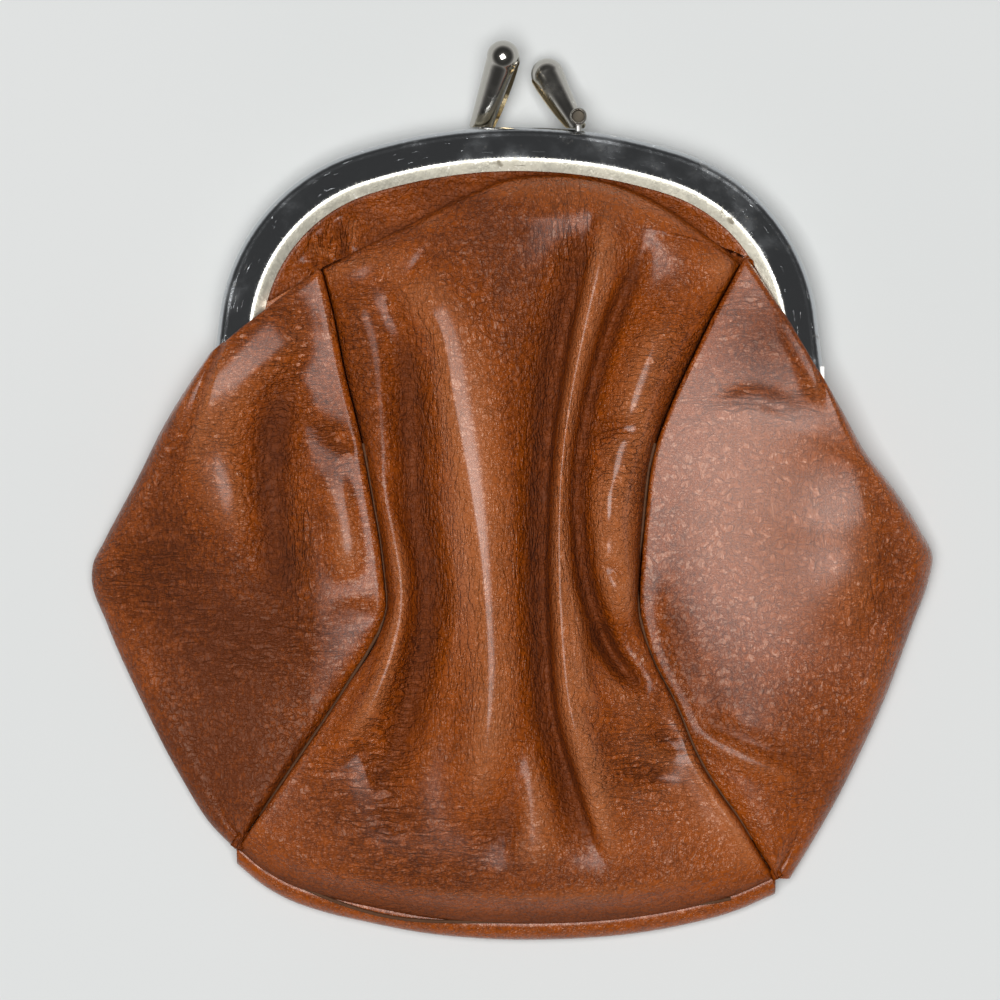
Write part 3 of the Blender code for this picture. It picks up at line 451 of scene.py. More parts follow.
class Wire:
    """A socket of a material's nodes, with the arithmetic of numbers: each sign adds a Math node."""

    def __init__(self, finish, socket):
        self.finish = finish
        self.socket = socket

    def math(self, operation, first, second=0.0):
        return self.finish.node("ShaderNodeMath", {"operation": operation}, {0: first, 1: second})

    def __add__(self, other):
        return self.math("ADD", self, other)

    def __sub__(self, other):
        return self.math("SUBTRACT", self, other)

    def __mul__(self, other):
        return self.math("MULTIPLY", self, other)

    def __radd__(self, other):
        return self.math("ADD", other, self)

    def __rsub__(self, other):
        return self.math("SUBTRACT", other, self)

    def clipped(self):
        """The same, kept from 0 to 1."""
        return self.math("MAXIMUM", self.math("MINIMUM", self, 1.0), 0.0)

    def step(self, low, high):
        """0 below low, 1 above high, and smooth between them."""
        settings = {"interpolation_type": "SMOOTHSTEP"}
        return self.finish.node("ShaderNodeMapRange", settings, {"Value": self, "From Min": low, "From Max": high})


class Finish:
    """A material: its shader, and one method that adds any other node."""

    def __init__(self, name, **constants):
        self.material = bpy.data.materials.new(name)
        self.material.use_nodes = True
        self.tree = self.material.node_tree
        self.shader = self.tree.nodes["Principled BSDF"]
        for socket, value in constants.items():
            self.shader.inputs[socket.replace("_", " ")].default_value = value

    def join(self, socket, value):
        if isinstance(value, Wire):
            self.tree.links.new(value.socket, socket)
        elif isinstance(value, tuple) and len(value) == 3 and socket.type == "RGBA":
            socket.default_value = (*value, 1.0)
        else:
            socket.default_value = value

    def node(self, kind, settings=None, sockets=None, output=0):
        """Adds a node, sets it up, fills or links its sockets, and gives one of its outputs."""
        node = self.tree.nodes.new(kind)
        for name, value in (settings or {}).items():
            setattr(node, name, value)
        for name, value in (sockets or {}).items():
            self.join(node.inputs[name], value)
        return Wire(self, node.outputs[output])

    def place(self):
        """Object coordinates, in metres."""
        return self.node("ShaderNodeTexCoord", output="Object")

    def vector(self, operation, first, second):
        """Arithmetic on two places."""
        return self.node("ShaderNodeVectorMath", {"operation": operation}, {0: first, 1: second})

    def noise(self, place, scale, detail=2.0, roughness=0.5):
        sockets = {"Vector": place, "Scale": scale, "Detail": detail, "Roughness": roughness}
        return self.node("ShaderNodeTexNoise", None, sockets)

    def cells(self, place, scale, softness):
        """Distance from the middles of soft cells."""
        sockets = {"Vector": place, "Scale": scale, "Smoothness": softness}
        return self.node("ShaderNodeTexVoronoi", {"feature": "SMOOTH_F1"}, sockets)

    def mark(self, name):
        """A value that the mesh carries at each of its points."""
        return self.node("ShaderNodeAttribute", {"attribute_name": name}, None, "Fac")

    def mix(self, share, first, second):
        """One colour turning into another."""
        return self.node("ShaderNodeMix", {"data_type": "RGBA"}, {0: share, 6: first, 7: second}, 2)

    def surface(self, **links):
        for socket, value in links.items():
            self.join(self.shader.inputs[socket.replace("_", " ")], value)
        return self.material

    def bump(self, height):
        """A normal from a height in millimetres."""
        return self.node("ShaderNodeBump", None, {"Strength": 1.0, "Distance": 0.001, "Height": height})


def calf_leather(name):
    """Dyed calf: pebbles from two sizes of cells, hair-fine pores, wrinkles where the mesh is marked."""
    skin = Finish(
        name, Specular_IOR_Level=0.42, Specular_Tint=(1.0, 0.84, 0.68, 1.0), Coat_Roughness=0.2, Coat_IOR=1.5,
    )
    point = skin.place()
    drift = skin.node("ShaderNodeTexNoise", None, {"Vector": point, "Scale": 350.0, "Detail": 2.0}, "Color")
    bent = skin.vector("ADD", point, skin.vector("MULTIPLY", drift, (0.0009, 0.0009, 0.0009)))
    stretched = skin.vector("MULTIPLY", bent, (1.0, 0.62, 1.0))
    pebbles = skin.cells(stretched, 1350.0, 0.5)
    pores = skin.cells(stretched, 3900.0, 0.4)
    speckle = skin.noise(stretched, 2600.0, 3.0, 0.6)
    patches = skin.noise(point, 62.0, 3.0, 0.55)
    mottle = skin.noise(bent, 420.0, 4.0, 0.6)

    def wrinkles(scale):
        """Fine broken lines: where a noise stretched one way crosses its middle value."""
        wave = skin.noise(skin.vector("MULTIPLY", bent, scale), 1.0, 3.0, 0.55)
        gap = skin.node("ShaderNodeMath", {"operation": "ABSOLUTE"}, {0: wave - 0.5})
        return 1.0 - gap.step(0.0, 0.085)

    level_lines = wrinkles((260.0, 1150.0, 500.0)) * skin.mark("wrinkled_level")
    upright_lines = wrinkles((1150.0, 240.0, 500.0)) * skin.mark("wrinkled_upright")
    lines = level_lines + upright_lines
    hollow = skin.mark("hollow")
    patina = skin.mark("patina")
    coarse = skin.mark("coarse")
    crinkles = wrinkles((680.0, 1000.0, 700.0)) * (coarse * 0.5 + 0.5)
    relief = pebbles * (coarse * -0.34 - 0.13) + pores * -0.05 + speckle * 0.10 + mottle * 0.20
    relief = relief + lines * -0.34 + crinkles * -0.19
    # Darker colour: random tone from speckle, mottle and patches, plus painted shade at the marked shade spots
    dark = ((speckle - 0.5) * 2.2 + (mottle - 0.5) * 1.0 + (patches - 0.5) * 0.9 + 0.25 + patina * 0.42).clipped()
    colour = skin.mix(dark * 0.8, COGNAC, COGNAC_DEEP_TONE_AND_SHADE)
    # Paler colour: random patches of real tone, plus painted highlight on crests and at the spots marked negative
    rubbed = (hollow * -0.9 + (patches - 0.5) * 0.7 - patina * 0.8).clipped()
    colour = skin.mix(rubbed * 0.5, colour, COGNAC_RUBBED_AND_HIGHLIGHT)
    # Painted shade: hollows and wrinkle lines darkened towards the deep colour; the same mask also roughens and dulls
    # the coat.
    painted_hollow_shade = (hollow * 0.9 + lines * 0.3).clipped()
    colour = skin.mix(painted_hollow_shade * 0.6, colour, COGNAC_DEEP_TONE_AND_SHADE)
    roughness = 0.25 + (mottle - 0.5) * 0.16 + pebbles * 0.05 + painted_hollow_shade * 0.35 + (patina * 0.14).clipped()
    coat = (0.3 - patina * 0.24 - painted_hollow_shade * 0.4).clipped()
    return skin.surface(Base_Color=colour, Roughness=roughness, Coat_Weight=coat, Normal=skin.bump(relief))


cognac = calf_leather("cognac_calf")


def finish_leather(piece, *nodes):
    """Gives a leather piece its finish, hides the solids that it stands for and bakes its placement into its points.
    """
    piece.data.materials.append(cognac)
    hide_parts(*nodes)
    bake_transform(piece)


finish_leather(front_leather, "front_panel", "front_panel_top")


# Gussets: two kites of the same leather, folded outwards over the frame's legs. Each runs from the front
# seam out to a soft fold, round it and back to the back seam, and its top edge turns under.

GUSSET_COLUMNS = (88, 26, 22)
GUSSET_ROWS = 140
HEM_ROWS = 12
HEM_RADIUS = 0.85
HEM_BACK_RADIUS = 0.5
HEM_DEPTH = 2.0
GUSSET_LIFT = 1.4
WING_STATIONS = (-55.3, -39.1, -20.8, -9.8, 0.0, 6.5)
WING_HALF_LEVELS = (2.3, 2.5, 3.0, 4.1, 5.4, 5.4)
WING_SQUARENESS = (2.0, 2.0, 2.0, 2.2, 2.8, 3.2)
MOST_OF_SPAN = 0.75
LEFT_SEAM_ROLL = 1.1
RIGHT_SEAM_ROLL = 0.5

LEFT_FOLD = places(
    (233, 851), (211, 829), (177, 776), (138, 700), (105, 626), (89, 578), (90, 566), (102, 541), (137, 476),
    (163, 425), (190, 382), (212, 350),
)
RIGHT_FOLD = places(
    (792, 881), (812, 848), (839, 801), (864, 751), (887, 700), (914, 628), (932, 577), (935, 558), (922, 530),
    (899, 494), (865, 450), (845, 415), (826, 383),
)
LEFT_GUSSET_FOLDS = (
    (((320, 292), (262, 346), (226, 400), (210, 462), (222, 520), (262, 590)), 1.3, 5.0, 4.4, 2.8, (0.2, 0.3)),
    (((296, 370), (278, 430), (274, 490), (279, 550), (284, 630)), -1.9, 2.8, 2.2, 2.0, (0.25, 0.35)),
    (((322, 450), (342, 520), (352, 590)), 0.7, 2.0, 2.6, 2.4, (0.4, 0.3)),
    (((288, 416), (328, 438), (362, 454)), -0.4, 1.0, 1.5, 2.0, (0.4, 0.2)),
    (((310, 622), (348, 614), (386, 614)), -0.35, 1.2, 1.6, 2.0, (0.5, 0.2)),
    (((120, 560), (180, 580), (230, 600)), 0.25, 1.6, 1.6),
    (((345, 690), (300, 745), (262, 800)), 0.35, 1.6, 2.4, 2.0, (0.3, 0.3)),
)
RIGHT_GUSSET_FOLDS = (
    (((690, 716), (745, 742), (795, 764), (845, 790)), -0.4, 0.9, 1.4, 2.0, (0.2, 0.4)),
    (((690, 724), (740, 756), (790, 778), (830, 800)), 0.4, 1.2, 2.0, 2.0, (0.2, 0.4)),
    (((700, 412), (750, 400), (820, 424)), -0.3, 1.2, 1.8),
    (((845, 450), (862, 540), (838, 650)), 0.5, 5.0, 3.4),
    (((772, 300), (800, 350), (830, 410)), 0.5, 1.6, 2.2, 2.0, (0.3, 0.3)),
    (((660, 560), (672, 630), (705, 700), (745, 770)), -0.5, 2.0, 3.0, 2.0, (0.3, 0.3)),
)


def sheet_normals(points):
    """Unit normals of a grid of points, evened out over the nearest neighbours."""
    normal = np.cross(np.gradient(points, axis=1), np.gradient(points, axis=0))
    normal /= np.linalg.norm(normal, axis=-1)[..., None] + 1e-9
    normal = np.stack([blurred(normal[..., axis], 4) for axis in range(3)], -1)
    return normal / (np.linalg.norm(normal, axis=-1)[..., None] + 1e-9)


def gusset(name, seam, wing_fold, hand, folds, nodes, **marks):
    """A gusset's sheet: out from the seam, half a squared circle round the fold, and back to the seam.

    Its front layer carries the folds, and at its top edge the leather is hemmed: it turns inside by half a
    circle and runs back.
    """
    front, edge, back = GUSSET_COLUMNS
    out = np.concatenate([crowded(front + 1, 0.5), np.ones(edge - 1), np.linspace(1, 0, back + 1)])
    half_turn = np.linspace(np.pi / 2, -np.pi / 2, edge + 1)
    turn = np.concatenate([np.full(front, np.pi / 2), half_turn, np.full(back, -np.pi / 2)])
    is_front = np.arange(len(out)) <= front
    out, v = np.meshgrid(out, 0.99 * crowded(GUSSET_ROWS + 1, 0.4))
    turn = np.broadcast_to(turn, out.shape)
    inner_line = along(seam, v)
    outer_line = along(wing_fold, v)
    way = outer_line - inner_line
    span = np.linalg.norm(way, axis=-1)
    way = way / span[..., None]
    height = outer_line[..., 1]
    half = through(WING_STATIONS, WING_HALF_LEVELS, height)
    power = 2 / through(WING_STATIONS, WING_SQUARENESS, height)
    width = 1.9 + 1.6 * smooth(4 * v) * smooth((4 - height) / 9) - 0.3 * smooth((height - 1) / 4)
    width = np.minimum(width, MOST_OF_SPAN * span)
    plan = inner_line + (outer_line - way * width[..., None] - inner_line) * out[..., None]
    plan = plan + way * (width * np.abs(np.cos(turn)) ** power)[..., None]
    x, y = plan[..., 0], plan[..., 1]
    low = through(SEAM_STATIONS, SEAM_LEVELS, inner_line[..., 1])
    lift = GUSSET_LIFT * smooth(5 * (1 - v)) * smooth(4 * v) if hand > 0 else 0 * v
    level = low + (2 * half + lift - low) * (smooth(out) if hand < 0 else out) + 1.0 * np.sin(np.pi * out) * (1 - v)
    level = level + folded(x, y, folds) * smooth(8 * (1 - out)) * smooth(8 * out)
    seam_gap = np.abs(track(seam, x, y)[0])
    seam_roll = RIGHT_SEAM_ROLL if hand > 0 else LEFT_SEAM_ROLL
    level = level - overlap(hand, y) * np.exp(-seam_gap / 2.2) - quarter_roll(seam_gap, seam_roll)
    # depth below the surrounding leather, used in the finish as painted shade in hollows and partly painted highlight
    # on crests
    hollow = np.where(is_front, hollows(level), 0)
    swell = half + lift * (np.sin(turn) > 0)
    round_edge = half + swell * np.sign(np.sin(turn)) * np.abs(np.sin(turn)) ** power
    level = np.where(is_front, level, round_edge)
    outer = np.stack([x, y, level], -1)
    normal = sheet_normals(outer) * hand
    up = outer[-1] - outer[-3]
    up /= np.linalg.norm(up, axis=-1)[..., None]
    radius = (HEM_RADIUS + (HEM_BACK_RADIUS - HEM_RADIUS) * smooth(np.arange(len(up)) / front - 0.8))[:, None]
    bend = np.linspace(0, np.pi, HEM_ROWS + 1)[1:, None, None]
    hem = outer[-1] + radius * (np.sin(bend) * up - (1 - np.cos(bend)) * normal[-1])
    hem = np.concatenate([hem, (hem[-1] - HEM_DEPTH * up)[None]])
    outer = np.concatenate([outer, hem])
    outer[..., 2] = np.maximum(outer[..., 2], 0)
    hollow = np.concatenate([hollow, np.tile(hollow[-1], (len(hem), 1))])
    if hand < 0:
        outer, hollow = outer[:, ::-1], hollow[:, ::-1]
    marked = {mark: spots_mask(outer[..., 0], outer[..., 1], *spots) for mark, spots in marks.items()}
    inner = outer - LEATHER * sheet_normals(outer)
    inner[..., 2] = np.maximum(inner[..., 2], 0)
    piece = leather_sheet(name, outer, inner, hollow=hollow, **marked)
    finish_leather(piece, *nodes)


gusset(
    "left_gusset_leather", beside(along(LEFT_SEAM, edge_shares), -SEAM_SLIT), LEFT_FOLD, -1, LEFT_GUSSET_FOLDS,
    ("left_gusset", "left_gusset_top"),
    wrinkled_level=(
        (335, 450, 30, 80, 20, 0.8), (330, 640, 60, 30, 0, 0.5), (130, 570, 60, 50, 0, 0.8),
        (230, 640, 80, 60, 0, 0.4), (280, 340, 50, 50, 0, 0.9), (215, 460, 40, 80, 0, 0.6),
    ),
    wrinkled_upright=((300, 550, 20, 80, 0, 0.9), (170, 560, 60, 90, -20, 0.4)),
    # Spots of painted shade where positive and painted highlight where negative; they also dull or gloss the coat
    patina=(
        (277, 440, 22, 60, 0, 1.0), (290, 570, 60, 80, 0, 0.7), (150, 580, 70, 60, 0, 1.1),
        (212, 455, 36, 70, -15, -0.4), (240, 740, 100, 130, 30, 1.9), (250, 630, 80, 60, 0, 1.0),
        (150, 480, 40, 90, 30, 0.9), (345, 560, 20, 60, 0, -0.5), (250, 300, 60, 40, -40, 0.6),
        (330, 440, 30, 60, 0, 0.6),
    ),
    coarse=((210, 470, 60, 90, -20, 0.8), (290, 340, 50, 50, 0, 0.7)),
)
gusset(
    "right_gusset_leather", beside(along(RIGHT_SEAM, edge_shares), SEAM_SLIT), RIGHT_FOLD, 1, RIGHT_GUSSET_FOLDS,
    ("right_gusset", "right_gusset_top"),
    wrinkled_level=((760, 400, 90, 30, 0, 0.9), (740, 310, 40, 40, 0, 0.6), (800, 780, 60, 40, -25, 0.5)),
    wrinkled_upright=((820, 500, 80, 120, 20, 0.4), (870, 600, 30, 80, 10, 0.4)),
    # Spots of painted shade where positive and painted highlight where negative; they also dull or gloss the coat
    patina=(
        (795, 520, 130, 150, 20, -0.8), (900, 600, 30, 90, 15, 0.6), (690, 660, 60, 80, 30, 0.8),
        (755, 700, 60, 50, 30, 0.4), (770, 340, 60, 50, 0, 1.0), (830, 760, 60, 90, 20, 0.6),
        (670, 560, 30, 90, 0, 0.4), (860, 480, 30, 90, 30, 0.3),
    ),
    coarse=((800, 530, 110, 150, 15, 1.0),),
)


# Back panel: a plain piece of the same leather, pressed flat on the table. Along the foot it rolls up in
# front of the seam, and at the top it is drawn up into the back channel.

BACK_COLUMNS = 90
BACK_ROWS = 90
ROLL_ROWS = 20
ROLL_RADIUS = 2.0
ROLL_TURN = np.radians(205)
DRAWN_WIDTH = 4.2

back_line = along(BOTTOM_LINE, edge_shares) + (0, 0.45)
plan, _ = panel_plan(BACK_COLUMNS, BACK_ROWS, back_line)
x, y = plan[..., 0], plan[..., 1]
mouth_gap = np.abs(track(mouth_line, x, y)[0])
drawn = 1 - smooth(mouth_gap / DRAWN_WIDTH)
level = (2 * HINGE_LEVEL - CHANNEL_LEATHER_LEVEL) * drawn * (y > 0)
level[-TUCK_ROWS:] = 2 * HINGE_LEVEL - CHANNEL_LEATHER_LEVEL
turns = np.linspace(ROLL_TURN, 0, ROLL_ROWS + 1)[:-1, None]
out, up = ROLL_RADIUS * np.sin(turns), ROLL_RADIUS * (1 - np.cos(turns))
roll = np.stack(np.broadcast_arrays(x[:1], y[:1] - out, up), -1)
outer = np.concatenate([roll, np.stack([x, y, level], -1)])[:, ::-1]
inner = outer - LEATHER * sheet_normals(outer)
inner[..., 2] = np.maximum(inner[..., 2], 0)
x, y = outer[..., 0], outer[..., 1]
back_leather = leather_sheet(
    "back_leather", outer, inner, hollow=0 * x,
    wrinkled_level=spots_mask(x, y, (500, 600, 200, 80, 10, 0.5), (520, 300, 120, 60, 0, 0.6)),
    wrinkled_upright=spots_mask(x, y, (430, 450, 80, 200, 0, 0.4)),
)
back_leather.data.materials.append(cognac)
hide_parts("back_panel")
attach(back_leather, "back_half")


# Frame halves: a strip of nickel-plated steel, folded to a channel and bent to an arch. The face is
# crowned, and its inner third slopes down to the leather that is jammed inside.

HALF_DEPTH = 4.0
STRIP = 0.5
HALVES_GAP = 0.3
FACE_ROUND = 1.1
FACE_SLOPE = 0.36
RIDGE_INSET = 3.95
RIDGE_SOFTNESS = 0.22
LIP_SLOPE = 0.36
FACE_POINTS = 34
INNER_POINTS = 20
EDGE_POINTS = 8
EAR_RADIUS = 2.5
EAR_NECK = 1.3
EAR_GAP = 0.15
EAR_RAYS = 64
HINGE_HOLE = 1.05


def face_level(inset):
    """Height of the face over its inset: a quarter round, a slope up to a soft ridge, and the lip's slope down."""
    from_ridge = np.maximum(inset, FACE_ROUND) - RIDGE_INSET
    fall = np.sqrt(from_ridge**2 + RIDGE_SOFTNESS**2) - RIDGE_SOFTNESS
    return HALF_DEPTH - np.where(from_ridge > 0, LIP_SLOPE, FACE_SLOPE) * fall - quarter_roll(inset, FACE_ROUND)


def channel_outline():
    """Outline of the folded strip: face and side wall outside, then the same lines a strip's thickness inside."""
    def bow(middle, radius, start, stop):
        turns = np.radians(np.linspace(start, stop, 5))[1:]
        return middle + radius * np.stack([np.cos(turns), np.sin(turns)], -1)

    outer_round = FACE_ROUND * (1 - np.cos(np.linspace(0, np.pi / 2, EDGE_POINTS)))
    face_inset = np.concatenate([outer_round, np.linspace(FACE_ROUND, BAND, FACE_POINTS)[1:]])
    face = np.stack([face_inset, face_level(face_inset)], -1)
    inner_inset = np.linspace(BAND, FACE_ROUND, INNER_POINTS)
    inner_face = np.stack([inner_inset, face_level(inner_inset) - STRIP], -1)
    inner_round = FACE_ROUND - STRIP
    corner = bow((FACE_ROUND, inner_face[-1, 1] - inner_round), inner_round, 90, 180)
    floor_line = np.array([[STRIP, STRIP], [BAND, STRIP], [BAND, 0.0], [STRIP, 0.0]])
    heel = bow((STRIP, STRIP), STRIP, 270, 180)
    return np.concatenate([face, inner_face, corner, floor_line, heel])


def tube_faces(rings, points):
    """Quads between rings of points, each ring closed on itself."""
    index = np.arange(rings * points).reshape(rings, points)
    nearby = np.roll(index, -1, axis=1)
    return np.stack([index[:-1], nearby[:-1], nearby[1:], index[1:]], -1).reshape(-1, 4)


def ear(hand, side, centre, first):
    """A hinge ear: rings of rays from the axis, to a round hole inside and to a round end outside.

    Towards the leg and the face the round end grows into a neck with straight sides.
    """
    rays = np.linspace(0, 2 * np.pi, EAR_RAYS, endpoint=False)
    up, out = np.cos(rays), np.sin(rays)
    neck = np.minimum((LEG_FOOT + EAR_NECK) / np.maximum(up, 1e-6), (HALF_DEPTH - FACE_ROUND) / np.maximum(out, 1e-6))
    reach = np.where((up > 0.05) & (out > -0.02), np.maximum(EAR_RADIUS, neck), EAR_RADIUS)
    points = []
    for radius, shift in ((HINGE_HOLE, -STRIP / 2), (reach, -STRIP / 2), (reach, STRIP / 2), (HINGE_HOLE, STRIP / 2)):
        across = np.full(EAR_RAYS, hand * (centre + shift))
        points.append(np.stack([across, radius * up, HINGE_LEVEL + side * radius * out], -1))
    index = first + np.arange(4 * EAR_RAYS).reshape(4, EAR_RAYS)
    corners = [index, np.roll(index, -1, axis=1), np.roll(index, (-1, -1), axis=(0, 1)), np.roll(index, -1, axis=0)]
    quads = np.stack(corners, -1).reshape(-1, 4)
    return np.concatenate(points), quads if hand * side < 0 else quads[:, ::-1]


def frame_half(name, node, side):
    """The channel carried along the arch, capped at both feet, with an ear at each foot."""
    line, inward = arch(0.0)
    outline = channel_outline()
    spots = line[:, None] + inward[:, None] * outline[None, :, :1]
    levels = np.broadcast_to(HINGE_LEVEL + side * (HALVES_GAP / 2 + outline[:, 1]), spots.shape[:2])
    points = np.concatenate([spots, levels[..., None]], -1)
    rings, count = points.shape[:2]
    quads = tube_faces(rings, count)
    quads = quads if side > 0 else quads[:, ::-1]
    centre = FRAME_WIDTH / 2 - LEG_LEAN * LEG_FOOT - STRIP / 2 - (STRIP + EAR_GAP if side < 0 else 0)
    faces = [list(quad) for quad in quads]
    left, right = list(range(count)), list(range((rings - 1) * count, rings * count))
    caps = [left, right[::-1]] if side > 0 else [left[::-1], right]
    everything = [points.reshape(-1, 3)]
    total = rings * count
    for hand in (-1, 1):
        more, quads = ear(hand, side, centre, total)
        everything.append(more)
        faces += [list(quad) for quad in quads]
        total += len(more)
    half = in_metres(name, np.concatenate(everything), faces + caps)
    half.data.set_sharp_from_angle(angle=np.radians(38))
    length = np.concatenate([[0], np.cumsum(np.linalg.norm(np.diff(line, axis=0), axis=1))])
    across = np.concatenate([[0], np.cumsum(np.linalg.norm(np.diff(outline, axis=0), axis=1))])
    ruled = np.zeros((total, 2))
    ruled[: rings * count] = np.stack(np.meshgrid(length, across, indexing="ij"), -1).reshape(-1, 2)
    loops = np.zeros(len(half.data.loops), int)
    half.data.loops.foreach_get("vertex_index", loops)
    ruled_map = half.data.uv_layers.new(name="strip")
    ruled_map.data.foreach_set("uv", (ruled[loops] / 100).astype(np.float32).ravel())
    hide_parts(node)
    return half


def nickel_plate(name, tint, is_strip=False):
    """Nickel plate, worn: hazy patches, flecks and spots of tarnish.

    The strip, whose map gives the way along it and across it in tenths of a metre, also has a fine brushed
    grain, slanting scratches, ears darkened all over and a lip rubbed to a warm satin.
    """
    plate = Finish(name, Metallic=1.0)
    point = plate.place()
    haze = plate.noise(point, 130.0, 4.0, 0.6)
    specks = plate.noise(point, 1500.0, 2.0, 0.5)
    spots = plate.noise(point, 330.0, 3.0, 0.6)
    tarnish = spots.step(0.64, 0.74)
    flecks = (specks + (haze - 0.5) * 0.6).step(0.70, 0.76)
    relief = specks * 0.008
    wear = haze.step(0.45, 0.72)
    if is_strip:
        ruled = plate.node("ShaderNodeUVMap", {"uv_map": "strip"})
        brushed = plate.noise(plate.vector("MULTIPLY", ruled, (240.0, 90.0, 1.0)), 1.0, 4.0, 0.65)
        slant = {"Vector": ruled, "Rotation": (0, 0, 0.6), "Scale": (30.0, 700.0, 1.0)}
        scratches = plate.noise(plate.node("ShaderNodeMapping", None, slant), 1.0, 2.0, 0.5).step(0.70, 0.74)
        relief = relief + brushed * 0.045 + scratches * -0.03
        from_rim = plate.node("ShaderNodeSeparateXYZ", None, {0: ruled}, 1)
        # Where the map's value across is zero, on the ears and at the strip's outer edge, the dark share is made
        # full.
        tarnish = (tarnish - from_rim.step(0.0, 0.0002) + 1.0).clipped()
        rubbed = (from_rim + (brushed - 0.5) * 0.02).step(0.043, 0.050)
        tint = plate.mix(rubbed, tint, (0.62, 0.59, 0.49))
        wear = (wear + scratches * 0.5).clipped() + rubbed * 1.3
    colour = plate.mix(tarnish * 0.55, tint, (0.16, 0.13, 0.085))
    colour = plate.mix(flecks * 0.6, colour, (0.95, 0.93, 0.88))
    return plate.surface(Base_Color=colour, Roughness=0.13 + wear * 0.2 + tarnish * 0.2, Normal=plate.bump(relief))


nickel = nickel_plate("worn_nickel", (0.52, 0.54, 0.56), is_strip=True)
for name, node, body, side in (
    ("front_frame_strip", "front_frame", "front_half", 1), ("back_frame_strip", "back_frame", "back_half", -1),
):
    half = frame_half(name, node, side)
    half.data.materials.append(nickel)
    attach(half, body)


# Clasp pods: two hollow teardrops pressed from thin plate, soldered to the top rails and crossed at rest.
# Each has a brassy seam fin on its inner flank, and the front one ends in a short open cup.

POD_HEAD_RADIUS = 2.0
POD_PITCH = 5.4
POD_REACH = 8.4
POD_RISE = 2.1
BACK_POD_X = -4.6
FRONT_POD_X = 7.3
SOFT_GAP = 0.3
FIN_POINTS = 40
FIN_REACH = 0.45
FIN_HALF = 0.16
TURN_STEPS = 56
BACK_LEVEL = 3.3
FRONT_LEVEL = 2 * HINGE_LEVEL - BACK_LEVEL


def rail_height(x):
    """Height of the crown's outer edge over a place on the hinge line."""
    return FRAME_HEIGHT - CROWN_RADIUS + np.sqrt(CROWN_RADIUS**2 - x * x)


def turned(profile, start, axis, side_hint):
    """A profile of (radius, height) turned about an axis from a start point, poles closed by tiny rings."""
    axis = np.array(Vector(axis).normalized())
    across = np.array(side_hint, float) - axis * (np.array(side_hint, float) @ axis)
    across /= np.linalg.norm(across)
    depth = np.cross(axis, across)
    turns = np.linspace(0, 2 * np.pi, TURN_STEPS, endpoint=False)
    ring = np.cos(turns)[:, None] * across + np.sin(turns)[:, None] * depth
    profile = np.asarray(profile, float)
    return np.array(start) + profile[:, None, 1:] * axis + profile[:, None, :1] * ring, across, depth


def closed_tube(points):
    """Faces of a stack of rings with both ends closed by a face."""
    rings, count = points.shape[:2]
    faces = [list(quad) for quad in tube_faces(rings, count)]
    return faces + [list(range(count))[::-1], list(range((rings - 1) * count, rings * count))]


def teardrop(length, foot_radius):
    """A ball that runs out into a slim, slightly hollow neck, from the foot up."""
    turns = np.linspace(0.02, np.radians(108), 26)
    head = np.stack([POD_HEAD_RADIUS * np.sin(turns), length + POD_HEAD_RADIUS * np.cos(turns)], -1)
    share = np.linspace(0, 1, 30)[1:]
    neck = np.stack([foot_radius + (head[-1, 0] - foot_radius) * (1 - share) ** 1.2, head[-1, 1] * (1 - share)], -1)
    return np.concatenate([head, neck])[::-1]


def pod(name, node, body, foot, head, foot_radius, fin_hand):
    """A teardrop from foot to head, cut level at the foot, with a thin seam fin along one flank."""
    foot, head = np.array(foot), np.array(head)
    run = head - foot
    length = np.linalg.norm(run)
    axis = run / length
    profile = teardrop(length, foot_radius)
    points, across, depth = turned(profile, foot, axis, (fin_hand, 0, 0))
    points[..., 1] = np.maximum(points[..., 1], foot[1])
    drop = in_metres(name, points, closed_tube(points))
    drop.data.materials.append(pod_nickel)
    drop.data.set_sharp_from_angle(angle=np.radians(60))
    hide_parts(node)
    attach(drop, body)
    share = np.linspace(0, 1, FIN_POINTS)
    height = share * (length + 0.2)
    flank = np.interp(height, profile[:, 1], profile[:, 0])
    root, rim = 0.7 * flank, flank + FIN_REACH * np.sin(np.pi * np.clip(share, 0.06, 1)) ** 0.5
    rows = []
    for out, thick in ((root, -FIN_HALF), (rim, -FIN_HALF), (rim, FIN_HALF), (root, FIN_HALF)):
        rows.append(foot + height[:, None] * axis + out[:, None] * across + thick * depth)
    fin_points = np.stack(rows, 1)
    fin_points[..., 1] = np.maximum(fin_points[..., 1], foot[1])
    fin = in_metres(name + "_fin", fin_points, closed_tube(fin_points))
    fin.data.set_sharp_from_angle(angle=np.radians(30))
    fin.data.materials.append(worn_brass)
    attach(fin, body)


pod_nickel = nickel_plate("pod_nickel", (0.50, 0.48, 0.44))
worn_brass = nickel_plate("worn_brass", (0.66, 0.52, 0.30))
back_foot = (BACK_POD_X, rail_height(BACK_POD_X) + SOFT_GAP, BACK_LEVEL)
back_head = (BACK_POD_X + 0.33 * POD_REACH, back_foot[1] + POD_REACH, HINGE_LEVEL + POD_RISE)
front_foot = (FRONT_POD_X, rail_height(FRONT_POD_X) + SOFT_GAP, FRONT_LEVEL)
front_head = (back_head[0] + POD_PITCH, front_foot[1] + 0.8 * POD_REACH, HINGE_LEVEL - 0.75 * POD_RISE)
pod("left_pod", "back_clasp_pod", "back_half", back_foot, back_head, 1.4, 1)
pod("right_pod", "front_clasp_pod", "front_half", front_foot, front_head, 1.0, -1)

